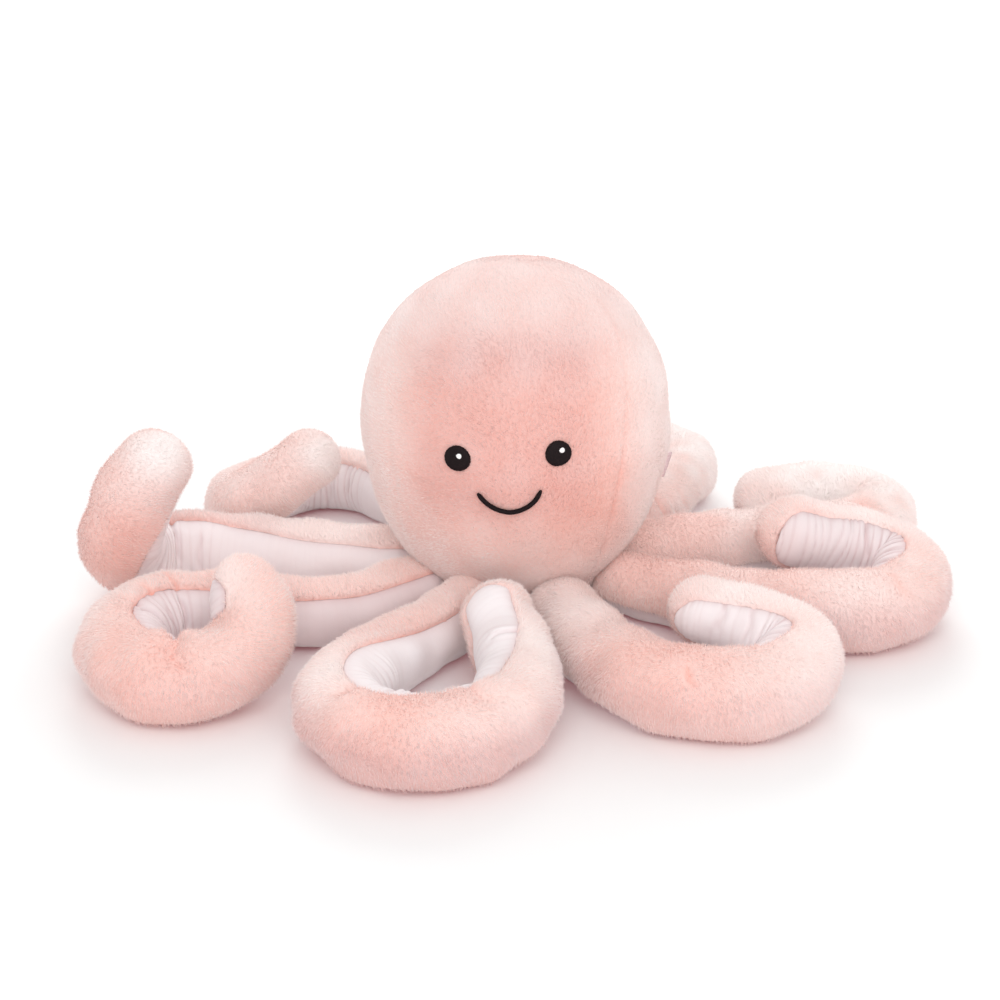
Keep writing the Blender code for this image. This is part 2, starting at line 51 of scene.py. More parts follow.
def unit(vectors):
    return vectors / np.maximum(np.linalg.norm(vectors, axis=-1, keepdims=True), 1e-9)


# 0 up to low, 1 from high, and 3tt - 2ttt between them, where t is the share of the way
def ease(low, high, value):
    t = np.clip((value - low) / (high - low), 0, 1)
    return t * t * (3 - 2 * t)


# Soft unevenness: sine waves in random directions, each about one size long, added up and
# scaled to a spread of 1
def waves(points, size, seed, count=14):
    rng = np.random.default_rng(seed)
    turns = unit(rng.normal(size=(count, 3))) * (2 * np.pi / size)
    turns *= rng.uniform(0.65, 1.5, (count, 1))
    return np.sin(points @ turns.T + rng.uniform(0, 2 * np.pi, count)).sum(-1) * (2 / count) ** 0.5


# Centripetal Catmull-Rom: between two rows, three levels of straight mixes of the four rows
# around, timed by the square roots of their distances
def curveThrough(rows, samples=30):
    rows = np.asarray(rows, float)
    ends = np.vstack([2 * rows[0] - rows[1], rows, 2 * rows[-1] - rows[-2]])
    a, b, c, d = (ends[i:len(ends) - 3 + i, None] for i in range(4))
    spans = [np.linalg.norm(q[..., :3] - p[..., :3], axis=-1, keepdims=True) ** 0.5
             for p, q in ((a, b), (b, c), (c, d))]
    t1, t2, t3 = spans[0], spans[0] + spans[1], spans[0] + spans[1] + spans[2]
    t = t1 + spans[1] * (np.arange(samples) / samples)[None, :, None]
    ab = ((t1 - t) * a + t * b) / t1
    bc = ((t2 - t) * b + (t - t1) * c) / (t2 - t1)
    cd = ((t3 - t) * c + (t - t2) * d) / (t3 - t2)
    abc = ((t2 - t) * ab + t * bc) / t2
    bcd = ((t3 - t) * bc + (t - t1) * cd) / (t3 - t1)
    found = ((t2 - t) * abc + (t - t1) * bcd) / (t2 - t1)
    return np.vstack([found.reshape(-1, rows.shape[1]), rows[-1:]])


def lengthAlong(rows):
    return np.r_[0, np.cumsum(np.linalg.norm(np.diff(rows[:, :3], axis=0), axis=1))]


# The same rows at other places along their length, straight between the old ones
def rowsAt(rows, length, at):
    return np.column_stack([np.interp(at, length, column) for column in rows.T])


# Normals of a grid of points whose columns go round and whose rows go along: the cross
# product of the two directions. The first and the last column are the same line
def gridNormals(points):
    ahead = np.concatenate([points[:, 1:], points[:, 1:2]], axis=1)
    behind = np.concatenate([points[:, -2:-1], points[:, :-1]], axis=1)
    return unit(np.cross(ahead - behind, np.gradient(points, axis=0)))


# Meshes

def makePiece(name, points, faces, finish):
    mesh = bpy.data.meshes.new(name)
    points = np.asarray(points, float).reshape(-1, 3) * mm
    corners = np.concatenate([face.ravel() for face in faces]).astype(np.int32)
    sizes = np.concatenate([np.full(len(face), face.shape[1]) for face in faces])
    mesh.vertices.add(len(points))
    mesh.vertices.foreach_set("co", points.astype(np.float32).ravel())
    mesh.loops.add(len(corners))
    mesh.loops.foreach_set("vertex_index", corners)
    mesh.polygons.add(len(sizes))
    mesh.polygons.foreach_set("loop_start", (np.cumsum(sizes) - sizes).astype(np.int32))
    mesh.update(calc_edges=True)
    mesh.shade_smooth()
    mesh.materials.append(finish)
    piece = bpy.data.objects.new(name, mesh)
    bpy.context.scene.collection.objects.link(piece)
    return piece


def addNumbers(piece, name, values):
    attribute = piece.data.attributes.new(name, "FLOAT", "POINT")
    attribute.data.foreach_set("value", np.asarray(values, np.float32).ravel())


# A closed skin from a grid whose rows close on themselves: a pole closes each end
def makeSkin(name, points, firstPole, lastPole, finish, numbers):
    rows, columns = points.shape[:2]
    grid = 1 + np.arange(rows * columns).reshape(rows, columns)
    after = np.roll(grid, -1, axis=1)
    sides = np.stack([grid[:-1], after[:-1], after[1:], grid[1:]], axis=-1).reshape(-1, 4)
    first = np.stack([np.zeros(columns, int), after[0], grid[0]], axis=-1)
    last = np.stack([grid[-1], after[-1], np.full(columns, 1 + rows * columns)], axis=-1)
    piece = makePiece(name, np.vstack([firstPole, points.reshape(-1, 3), lastPole]),
                      [sides, first, last], finish)
    for key, values in numbers.items():
        addNumbers(piece, key, np.r_[values[0].mean(), values.ravel(), values[-1].mean()])
    return piece


# Materials

def colour(hexCode):
    parts = [int(hexCode[i:i + 2], 16) / 255 for i in (1, 3, 5)]
    linear = [p / 12.92 if p <= 0.04045 else ((p + 0.055) / 1.055) ** 2.4 for p in parts]
    return (*linear, 1.0)


def addNode(tree, kind, settings, links):
    node = tree.nodes.new("ShaderNode" + kind)
    for name, value in settings.items():
        if isinstance(name, str) and hasattr(node, name):
            setattr(node, name, value)
        else:
            node.inputs[name].default_value = value
    for name, (source, output) in links.items():
        tree.links.new(source.outputs[output], node.inputs[name])
    return node


def newMaterial(name, settings):
    material = bpy.data.materials.new(name)
    material.use_nodes = True
    shader = material.node_tree.nodes["Principled BSDF"]
    for key, value in settings.items():
        shader.inputs[key].default_value = value
    return material, material.node_tree, shader


def attach(tree, shader, **links):
    for name, (source, output) in links.items():
        tree.links.new(source.outputs[output], shader.inputs[name.replace("_", " ")])


# Each of these three gives a node and its output. The noise is about size mm across and
# stays with its piece
def noise(tree, size, detail):
    place = addNode(tree, "TexCoord", {}, {})
    return addNode(tree, "TexNoise", {"Scale": 1000 / size, "Detail": detail},
                   {"Vector": (place, "Object")}), "Fac"


def stored(tree, name):
    return addNode(tree, "Attribute", {"attribute_name": name}, {}), "Fac"


# One colour over another, each as four numbers or as a node and its output
def mix(tree, share, under, over, blend="MIX"):
    settings, links = {"data_type": "RGBA", "blend_type": blend}, {0: share}
    for socket, side in ((6, under), (7, over)):
        (settings if len(side) == 4 else links)[socket] = side
    return addNode(tree, "Mix", settings, links), 2


def roughen(tree, shader, height, strength, distance):
    bump = addNode(tree, "Bump", {"Strength": strength, "Distance": distance},
                   {"Height": height})
    attach(tree, shader, Normal=(bump, "Normal"))


# Sheared polyester plush, knitted. Its tips are painted almost white, a painted highlight for the
# light they catch, and its colour is painted warmer and deeper towards the backing, painted shade
# in the depth of the pile, where it parts
plushLook = {"tip": "#f9efed", "middle": "#f9e4df", "root": "#f8c6ba", "warm": "#ffbfa8",
             "cloud": 24, "tuft": 2.2, "deep": "#f3bfb3", "mass": "#f6d8d2", "paintedHighlight": "#fdf6f4",
             "paintedShade": "#e0d0d3"}


# Painted light and shade: where a highlight is painted the colour is mixed toward a pale pink,
# and where shade is painted it is multiplied by a mauve grey
def colourPile(tree, shader, source):
    bleached = mix(tree, stored(tree, "pileHighlight"), source, colour(plushLook["paintedHighlight"]))
    dulled = mix(tree, stored(tree, "pileShade"), bleached, colour(plushLook["paintedShade"]), "MULTIPLY")
    attach(tree, shader, Base_Color=dulled)


def plushPile():
    material, tree, shader = newMaterial("plush_pile", {
        "Roughness": 0.85, "Specular IOR Level": 0.15, "Sheen Weight": 0.35,
        "Sheen Roughness": 0.5})
    ramp = addNode(tree, "ValToRGB", {}, {"Fac": stored(tree, "pileHeight")})
    ramp.color_ramp.elements[0].color = colour(plushLook["root"])
    ramp.color_ramp.elements[1].color = colour(plushLook["tip"])
    middle = ramp.color_ramp.elements.new(0.35)
    middle.color = colour(plushLook["middle"])
    # brushed clouds
    amount = addNode(tree, "MapRange", {"From Min": 0.35, "From Max": 0.7, "To Min": 0.0,
                                        "To Max": 0.2},
                     {"Value": noise(tree, plushLook["cloud"], 3)})
    # the painted warm shade stored in the pile is added to the clouds
    both = addNode(tree, "Math", {"operation": "ADD", "use_clamp": True},
                   {0: (amount, "Result"), 1: stored(tree, "pileWarmthAndShade")})
    warmer = mix(tree, (both, "Value"), (ramp, "Color"), colour(plushLook["warm"]), "MULTIPLY")
    shade = addNode(tree, "MapRange", {"From Min": -1.0, "From Max": 1.0, "To Min": 0.93,
                                       "To Max": 1.05}, {"Value": stored(tree, "pileTone")})
    final = addNode(tree, "HueSaturation", {}, {"Value": (shade, "Result"), "Color": warmer})
    colourPile(tree, shader, (final, "Color"))
    return material


# Below the tips the pile stands packed: seen as one soft mass, painted deeper in colour as shade
# within the pile, and warm where it parts at a seam or a crease, partly its backing and partly
# painted shade
def packedPile():
    material, tree, shader = newMaterial("packed_pile", {
        "Roughness": 0.95, "Specular IOR Level": 0.2, "Sheen Weight": 0.3,
        "Sheen Roughness": 0.5})
    tufts = noise(tree, plushLook["tuft"], 2)
    mass = mix(tree, tufts, colour(plushLook["mass"]), colour(plushLook["deep"]))
    warmer = mix(tree, stored(tree, "pileWarmthAndShade"), mass, colour(plushLook["warm"]), "MULTIPLY")
    colourPile(tree, shader, warmer)
    roughen(tree, shader, tufts, 0.5, 0.0006)
    return material


# Smooth white minky, a brushed polyester knit with a nap under 1 mm: matt, softly bright at
# its edges, with a faint grain
def whiteMinky():
    material, tree, shader = newMaterial("white_minky", {
        "Roughness": 0.8, "Specular IOR Level": 0.25, "Sheen Weight": 0.3,
        "Sheen Roughness": 0.4})
    cloth = mix(tree, noise(tree, 14, 2), colour("#fbf5f6"), colour("#f8eff0"))
    # painted shade: the mauve grey is mixed in where the strip's painted shade is stored, in pleat
    # valleys, creases, along the edges and over some whole strips
    deep = mix(tree, stored(tree, "creaseShade"), cloth, colour("#dcc3c4"))
    attach(tree, shader, Base_Color=deep)
    # the nap's grain of about 0.5 mm is drawn at 1.1 mm, or it would not show
    roughen(tree, shader, noise(tree, 1.1, 2), 0.25, 0.0004)
    return material


# Rayon embroidery thread in close satin stitches, a little lighter here and there
def thread(name, dark, light, roughness):
    material, tree, shader = newMaterial(name, {"Roughness": roughness,
                                                "Specular IOR Level": 0.12})
    # threads of 0.4 mm, drawn as a grain of 1.2 mm so that they show
    grain = noise(tree, 1.2, 1)
    attach(tree, shader, Base_Color=mix(tree, grain, colour(dark), colour(light)))
    return material


# Woven satin tape, thin enough to let light through
def satinTape():
    material, tree, shader = newMaterial("satin_tape", {"Roughness": 0.5,
                                                        "Transmission Weight": 0.15})
    place = addNode(tree, "TexCoord", {}, {})
    # threads of 0.3 mm, drawn 1.776 mm apart so that they show. At scale 1 the bands are
    # 314.16 mm apart
    weave = addNode(tree, "TexWave", {"wave_type": "BANDS", "bands_direction": "Z",
                                      "Scale": 314.16 / 1.776, "Distortion": 0.4},
                    {"Vector": (place, "Object")})
    woven = mix(tree, (weave, "Fac"), colour("#efd9dc"), colour("#e6cbd0"))
    attach(tree, shader, Base_Color=woven)
    return material


# Hollow polyester fibre, seen by nobody unless the toy is opened
def polyesterFill():
    material, tree, shader = newMaterial("polyester_fibre", {"Roughness": 1.0})
    fibres = noise(tree, 3, 4)
    attach(tree, shader, Base_Color=mix(tree, fibres, colour("#f7f7f5"), colour("#e6e6e3")))
    return material


pileFinish = plushPile()
massFinish = packedPile()
minkyFinish = whiteMinky()
darkThread = thread("dark_thread", "#150d0f", "#211719", 0.6)
whiteThread = thread("white_thread", "#f6f4f4", "#ffffff", 0.45)
tapeFinish = satinTape()
fillFinish = polyesterFill()
print("materials ready")


# Pile. Every tuft of fibres is one closed spike of four triangles, rooted in the backing

# Spreads points over a grid's cells in order of their area, one to each equal share
def scatter(points, allowed, density, rng):
    along = points[1:, :-1] - points[:-1, :-1]
    across = points[:-1, 1:] - points[:-1, :-1]
    share = (allowed[1:, :-1] + allowed[:-1, 1:]) / 2
    total = np.cumsum(np.linalg.norm(np.cross(along, across), axis=-1).ravel() * share.ravel())
    count = int(total[-1] * density)
    cell = np.searchsorted(total, (np.arange(count) + rng.random(count)) / count * total[-1])
    row, column = np.unravel_index(np.minimum(cell, share.size - 1), share.shape)
    return row, column, rng.random(count)[:, None], rng.random(count)[:, None]


# A value between a cell's four corners, in proportion to the distances
def between(values, row, column, u, v):
    return ((1 - u) * (1 - v) * values[row, column] + u * (1 - v) * values[row + 1, column]
            + (1 - u) * v * values[row, column + 1] + u * v * values[row + 1, column + 1])


# Of a spike: the share that stands up out of the others, how much less it strays in lean
# than in turn, its least and most length and width as shares, where the three corners of
# its foot are, in half widths, and how far its point stays over the floor in mm
spike = {"uprightShare": 0.16, "strayLean": 0.6, "lengths": (0.7, 1.2), "widths": (0.7, 1.3),
         "footBelow": 0.25, "footAbove": 0.9, "leastLean": 0.1, "mostLean": 84,
         "overFloor": 0.15, "overFloorMore": 0.3}


# A spike starts on a small triangle across its own direction and ends in a point. Its
# direction is the flow of the pile leant out from the skin, and both turn and lean change
# in soft waves, so that neighbours form tufts
def growPile(name, foot, normal, flow, kind, warmth, paintedHighlight, paintedShade, seed):
    rng = np.random.default_rng(seed)
    count = len(foot)
    side = unit(np.cross(normal, flow))
    flow = np.cross(side, normal)
    turn = np.radians(kind["turn"] * waves(foot, kind["cloud"], seed + 1)
                      + kind["tuftTurn"] * waves(foot, kind["tuft"], seed + 2)
                      + kind["stray"] * rng.normal(size=count))[:, None]
    lean = np.radians(kind["lean"] + kind["leanChange"] * waves(foot, kind["cloud"], seed + 3)
                      + kind["tuftLean"] * waves(foot, kind["tuft"], seed + 4)
                      + kind["stray"] * spike["strayLean"] * rng.normal(size=count))
    lean -= np.radians(kind["upright"]) * (rng.random(count) < spike["uprightShare"])
    lean = np.clip(lean, spike["leastLean"], np.radians(spike["mostLean"]))[:, None]
    heading = np.cos(turn) * flow + np.sin(turn) * side
    way = np.sin(lean) * heading + np.cos(lean) * normal
    across = unit(np.cross(way, normal))
    over = np.cross(across, way)
    long = (kind["length"] * rng.uniform(*spike["lengths"], count))[:, None]
    wide = (kind["width"] * rng.uniform(*spike["widths"], count))[:, None] / 2
    sunk = foot - normal * kind["sink"]
    corners = np.stack([sunk + across * wide - over * spike["footBelow"] * wide,
                        sunk - across * wide - over * spike["footBelow"] * wide,
                        sunk + over * spike["footAbove"] * wide,
                        sunk + way * (long + kind["sink"])], axis=1)
    corners[..., 2] = np.maximum(corners[..., 2], spike["overFloor"]
                                 + spike["overFloorMore"] * rng.random((count, 1)))
    first = 4 * np.arange(count)[:, None]
    faces = np.concatenate([first + np.array(order) for order in
                            ((0, 2, 1), (0, 1, 3), (1, 2, 3), (2, 0, 3))])
    piece = makePiece(name, corners, [faces], pileFinish)
    tone = 0.55 * waves(foot, kind["tuft"], seed + 5) + 0.45 * rng.normal(size=count)
    addNumbers(piece, "pileHeight", np.tile([0.0, 0.0, 0.1, 1.0], count))
    for key, values in (("pileTone", np.clip(tone, -1, 1)), ("pileShade", paintedShade),
                        ("pileWarmthAndShade", warmth), ("pileHighlight", paintedHighlight)):
        addNumbers(piece, key, np.repeat(values, 4))
    piece.data.shade_flat()
    return piece


# Head: an egg of four panels, turned from a profile of radius and height

head = {
    "profile": [(44, 0), (52, 10), (62, 27), (70.8, 39), (80.2, 57), (87, 75), (91.2, 93),
                (94, 111), (93.5, 126), (90.5, 146), (83.8, 165), (71.3, 185), (55, 199.5),
                (32, 211.3), (0, 217.4)],
    # each seam's bearing at some heights, in degrees: they run back over the crown
    "seamHeights": [0, 39, 101, 147, 185, 200, 216],
    "seams": {"left": [-150, -148, -139, -145, -165, -180, -190],
              "right": [-48, -49.5, -51, -46, -36, -29, -20],
              "rightBack": [29, 29, 29, 30, 32, 36, 40],
              "leftBack": [145, 145, 145, 144, 140, 136, 130]},
    "show": {"left": 0.35, "right": 0.6, "rightBack": 1, "leftBack": 1},
    "groove": 1.1, "grooveWidth": 1.8, "lump": 0.4, "lumpSize": 55, "beside": 0.4,
    "besideAt": 6, "besideReach": 4, "puckerSize": 16, "crownGap": 0.8,
    "rows": 150, "panelColumns": 52, "bareRows": 4, "backShare": 0.75,
}
# Amounts from 0 to 1 of warmer pile, painted shade and at the seams partly its backing, of
# darker pile, painted shade, and of paler pile, painted highlights with paler random clouds,
# and where the cheek's warm painted shade is
headTones = {"cheek": (52, -66, 82), "cheekReach": 34, "cheekWarm": 0.3, "faceWarm": 0.2,
             "seamWarm": 0.08, "seamReach": 2.5, "faceShade": 0.42, "crownShade": 0.15,
             "crownHighlight": 0.35, "lowHighlight": 0.4, "rightHighlight": 0.6, "leftHighlight": 0.35,
             "cloudPale": 0.04, "cloud": 30}
headPile = {"length": 2.4, "width": 0.53, "sink": 0.6, "lean": 64, "density": 0.98,
            "cloud": 32, "tuft": 2.6, "turn": 13, "tuftTurn": 5, "stray": 9,
            "leanChange": 3, "tuftLean": 3, "upright": 14}

headProfile = curveThrough([(r, 0, z) for r, z in head["profile"]])[:, [0, 2]]


def seamBearing(name, height):
    return np.interp(height, head["seamHeights"], head["seams"][name])


# One panel: its bearing goes from one seam to the other, with columns closer together near
# the seams, and its radius is the profile's, less a groove at the seams, plus soft lumps
def headPanel(first, last):
    length = lengthAlong(headProfile)
    at = np.linspace(0, length[-1] - head["crownGap"], head["rows"])
    radius, height = (np.interp(at, length, column) for column in headProfile.T)
    start, end = seamBearing(first, height), seamBearing(last, height)
    end = np.where(end < start, end + 360, end)
    t = np.linspace(0, 1, head["panelColumns"] + 1)
    share = 0.45 * t + 0.55 * ease(0, 1, t)
    bearing = start[:, None] + share * (end - start)[:, None]
    angle = np.radians(bearing)
    out = np.stack([np.cos(angle), np.sin(angle), np.zeros_like(angle)], axis=-1)
    points = radius[:, None, None] * out
    points[..., 2] = height[:, None]
    slope = np.gradient(radius, height)
    normal = unit(np.stack([out[..., 0], out[..., 1], -slope[:, None] * np.ones_like(t)], -1))
    toSeam = np.radians(np.minimum(bearing - start[:, None], end[:, None] - bearing))
    toSeam = toSeam * radius[:, None]
    puckers = waves(points * [1, 1, 2.5], head["puckerSize"], 71)
    # the seams behind show most, the left one least, and none shows on the crown
    shown = np.where(bearing < (start + end)[:, None] / 2, head["show"][first],
                     head["show"][last]) * ease(205, 165, height)[:, None]
    depth = head["groove"] * shown * (1 + 0.5 * puckers) * np.exp(
        -(toSeam / head["grooveWidth"]) ** 2)
    raised = head["lump"] * waves(points, head["lumpSize"], 70)
    # beside a seam the fabric stands a little full
    full = np.exp(-((toSeam - head["besideAt"]) / head["besideReach"]) ** 2)
    raised = raised + head["beside"] * shown * full * (1 + 0.8 * puckers)
    points = points + normal * (raised - depth)[..., None]
    return points, normal, toSeam


# Warm where the pile parts at the seams of the right half, partly its backing and partly
# painted shade in the grooves, and painted warm shade on the lower right cheek and, less, over
# the face
def headWarmthAndShade(points, toSeam):
    cheek = np.linalg.norm(points - np.array(headTones["cheek"]), axis=-1)
    seam = headTones["seamWarm"] * np.exp(-(toSeam / headTones["seamReach"]) ** 2) * ease(
        -20, 30, points[..., 0])
    return np.clip(seam + headTones["cheekWarm"] * np.exp(-(cheek / headTones["cheekReach"]) ** 2)
                   + headTones["faceWarm"] * onFront(points), 0, 1)


# 1 in the middle of the face and the forehead, 0 on the crown, the sides and the back
def onFront(points):
    x, y, z = np.moveaxis(points, -1, 0)
    return (ease(-20, -75, y) * ease(208, 176, z) * ease(60, 110, z) * ease(-75, -45, x)
            * ease(62, 30, x))


# How much painted shade darkens the pile: on the face, and a little on the crown
def headShade(points):
    return np.clip(headTones["faceShade"] * onFront(points)
                   + headTones["crownShade"] * ease(150, 200, points[..., 2]), 0, 1)


# Painted highlight: the pile is painted paler over the crown, low down, and round both sides,
# the right one more, with random clouds a little paler and a little less pale
def headHighlight(points):
    x, z = points[..., 0], points[..., 2]
    return np.clip(headTones["crownHighlight"] * ease(150, 205, z)
                   + headTones["lowHighlight"] * ease(90, 35, z)
                   + headTones["rightHighlight"] * ease(50, 85, x) * ease(40, 70, z)
                   + headTones["leftHighlight"] * ease(-50, -88, x)
                   + headTones["cloudPale"] * waves(points, headTones["cloud"], 77), 0, 1)


def makeHead():
    names = ["left", "right", "rightBack", "leftBack", "left"]
    titles = ["front", "right", "back", "left"]
    panels = [headPanel(a, b) for a, b in zip(names[:-1], names[1:])]
    grid = np.concatenate([panel[0][:, :-1] for panel in panels], axis=1)
    grid[..., 2] = np.maximum(grid[..., 2], 0.3)
    warmth = np.concatenate([headWarmthAndShade(p[0], p[2])[:, :-1] for p in panels], axis=1)
    skin = makeSkin("head_plush", grid, [0, 0, 1.0], [0, 0, head["profile"][-1][1]],
                    massFinish, {"pileWarmthAndShade": warmth, "pileHighlight": headHighlight(grid),
                                 "pileShade": headShade(grid)})
    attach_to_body(skin, "body")
    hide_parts("head_front_panel", "head_right_panel", "head_back_panel",
                "head_left_panel")
    for number, (title, (points, normal, toSeam)) in enumerate(zip(titles, panels)):
        rng = np.random.default_rng(200 + number)
        # the back is seldom seen and has fewer tufts, and the lowest rows have none
        allowed = np.full(points.shape[:2], head["backShare"] if title == "back" else 1.0)
        allowed[:head["bareRows"]] = 0
        spot = scatter(points, allowed, headPile["density"], rng)
        foot = between(points, *spot)
        out = unit(between(normal, *spot))
        # brushed down from the crown, and sideways over the left of the face
        around = unit(np.cross([0, 0, 1.0], out) + 1e-6)
        down = np.cross(around, out)
        sideways = ease(10, -60, foot[:, 0]) * ease(30, -60, foot[:, 1])
        flow = unit(-down * (1 - 0.75 * sideways)[:, None]
                    - around * (0.9 * sideways + 0.25)[:, None])
        seam = between(toSeam[..., None], *spot)[:, 0]
        pile = growPile("head_" + title + "_pile", foot, out, flow, headPile,
                        headWarmthAndShade(foot, seam), headHighlight(foot), headShade(foot),
                        300 + 10 * number)
        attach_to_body(pile, "body")


makeHead()
print("head ready")


# Smooth base of the head: a thin disc, crowned above and below its rim by the root of
# 1 - share to the sixth
baseDisc = {"radius": 43.5, "thickness": 2.6, "rim": 0.9, "fall": 0.7, "first": 0.08,
            "rings": 12, "steps": 64}


def makeBase():
    rim = baseDisc["rim"]
    share = np.linspace(baseDisc["first"], 1, baseDisc["rings"])
    angle = np.linspace(0, 2 * np.pi, baseDisc["steps"], endpoint=False)
    edge = np.sqrt(np.clip(1 - share ** 6, 0, 1))
    radius = np.concatenate([share, share[-2::-1]]) * baseDisc["radius"]
    height = np.concatenate([rim - baseDisc["fall"] * edge,
                             rim + (baseDisc["thickness"] - rim) * edge[-2::-1]])
    points = np.stack([radius[:, None] * np.cos(angle), radius[:, None] * np.sin(angle),
                       height[:, None] * np.ones_like(angle)], axis=-1)
    piece = makeSkin("base_fabric", points, [0, 0, 0.2], [0, 0, baseDisc["thickness"]],
                     minkyFinish, {"creaseShade": np.zeros(points.shape[:2])})
    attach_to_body(piece, "body")
    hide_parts("base_panel")


makeBase()


# Face: stitched patches and a stitched line on the front of the head

face = {"lift": 1.5, "eyes": {"left": (-33.4, 124.6), "right": (23.2, 128.7)},
        "eyeRadius": 7.3, "eyeHeight": 1.5, "eyeStitches": 0.35, "eyeUneven": 0.012,
        "glints": {"left": (-31.9, 126.6), "right": (24.7, 130.9)}, "glintRadius": 1.55,
        "glintHeight": 0.45, "glintSunk": 0.15, "glintStitches": 1.2, "glintUneven": 0.05,
        "stitch": 0.85, "ridge": 0.13, "buried": 1.6,
        "smile": [(-22.1, 105.1), (-17.6, 99.6), (-11.3, 95.4), (-3.3, 93.7), (4.1, 96),
                  (9.8, 100.7), (13.7, 107.7)], "smileWidth": 1.3, "smileHeight": 1.15,
        "smileEnd": 0.35, "smileTaper": 0.07, "smileRidge": 0.09}


# A place on the front of the head from x and height: y is minus the square root of the
# radius squared less x squared, and the outward direction leans with the profile's slope
def onFace(x, z, lift):
    radius = np.interp(z, headProfile[:, 1], headProfile[:, 0])
    slope = np.interp(z, headProfile[:, 1], np.gradient(headProfile[:, 0], headProfile[:, 1]))
    flat = np.stack([x / radius, -np.sqrt(1 - (x / radius) ** 2)], axis=-1)
    out = unit(np.concatenate([flat, -slope[..., None]], axis=-1))
    place = np.concatenate([flat * radius[..., None], np.asarray(z)[..., None]], axis=-1)
    return place + out * np.asarray(lift)[..., None]


# A domed patch: rings of points out from a middle, each raised by the height times
# (1 - share to the fourth) to the 0.6, plus the ridges of stitches that run at one angle
def stitchedPatch(name, centre, radius, height, lift, stitchAngle, finish, node, uneven):
    rings, steps = 20, 96
    share = np.linspace(0.06, 1, rings)[:, None]
    angle = np.linspace(0, 2 * np.pi, steps, endpoint=False)[::-1]
    rng = np.random.default_rng(len(name))
    rim = 1 + uneven * np.sin(angle * 23 + 1.3 * np.sin(angle * 7)) + uneven * np.sin(
        angle * 3 + rng.uniform(0, 6))
    x = radius * share * rim * np.cos(angle)
    z = radius * share * rim * np.sin(angle)
    lines = x * math.cos(stitchAngle) + z * math.sin(stitchAngle)
    ridges = face["ridge"] * np.abs(np.sin(np.pi * lines / face["stitch"]))
    top = height * (1 - share ** 4) ** 0.6 + ridges * (1 - share ** 8)
    bottom = lift - face["buried"]
    upper = onFace(centre[0] + x, centre[1] + z, lift + top)
    lower = onFace(centre[0] + x, centre[1] + z, bottom * np.ones_like(top))
    grid = np.concatenate([upper, lower[::-1]])
    first = onFace(np.array(centre[0]), np.array(centre[1]), np.array(lift + height))
    last = onFace(np.array(centre[0]), np.array(centre[1]), np.array(bottom))
    piece = makeSkin(name, grid, first, last, finish, {})
    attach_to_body(piece, "body")
    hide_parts(node)


# A raised line: ovals across a smooth curve, narrowing at both ends, with slanted ridges
def stitchedLine():
    line = curveThrough([(x, 0, z) for x, z in face["smile"]], 24)
    length = lengthAlong(line)
    line = rowsAt(line, length, np.linspace(0, length[-1], 200))
    length = lengthAlong(line)
    way = unit(np.gradient(line, axis=0))
    share = length / length[-1]
    narrow = face["smileEnd"]
    wide = face["smileWidth"] * (narrow + (1 - narrow) * np.clip(
        np.minimum(share, 1 - share) / face["smileTaper"], 0, 1) ** 0.5)
    angle = np.linspace(0, 2 * np.pi, 20, endpoint=False)
    ridges = 1 + face["smileRidge"] * np.sin(2 * np.pi * (length[:, None] / face["stitch"]
                                                          + 0.5 * np.cos(angle) / 2))
    across = wide[:, None] * np.cos(angle) * ridges
    raised = face["smileHeight"] * wide[:, None] * np.sin(angle) * ridges
    x = line[:, 0, None] - way[:, 2, None] * across
    z = line[:, 2, None] + way[:, 0, None] * across
    grid = onFace(x, z, face["lift"] + 0.1 + np.maximum(raised, -1.4))
    piece = makeSkin("smile_stitching", grid, grid[0].mean(axis=0), grid[-1].mean(axis=0),
                     darkThread, {})
    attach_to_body(piece, "body")
    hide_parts("smile")


for side in ("left", "right"):
    stitchedPatch(side + "_eye_stitching", face["eyes"][side], face["eyeRadius"],
                  face["eyeHeight"], face["lift"], face["eyeStitches"], darkThread,
                  side + "_eye", face["eyeUneven"])
    stitchedPatch(side + "_eye_glint", face["glints"][side], face["glintRadius"],
                  face["glintHeight"], face["lift"] + face["eyeHeight"] - face["glintSunk"],
                  face["glintStitches"], whiteThread, side + "_eye_highlight",
                  face["glintUneven"])
stitchedLine()
print("face ready")


# Label: a folded tape, blank, sewn in the seam at the right of the head
label = {"bearing": 29, "low": 60, "high": 76, "out": 28, "bend": 5, "fold": 1.0,
         "thickness": 0.5, "sewnIn": 1.5}


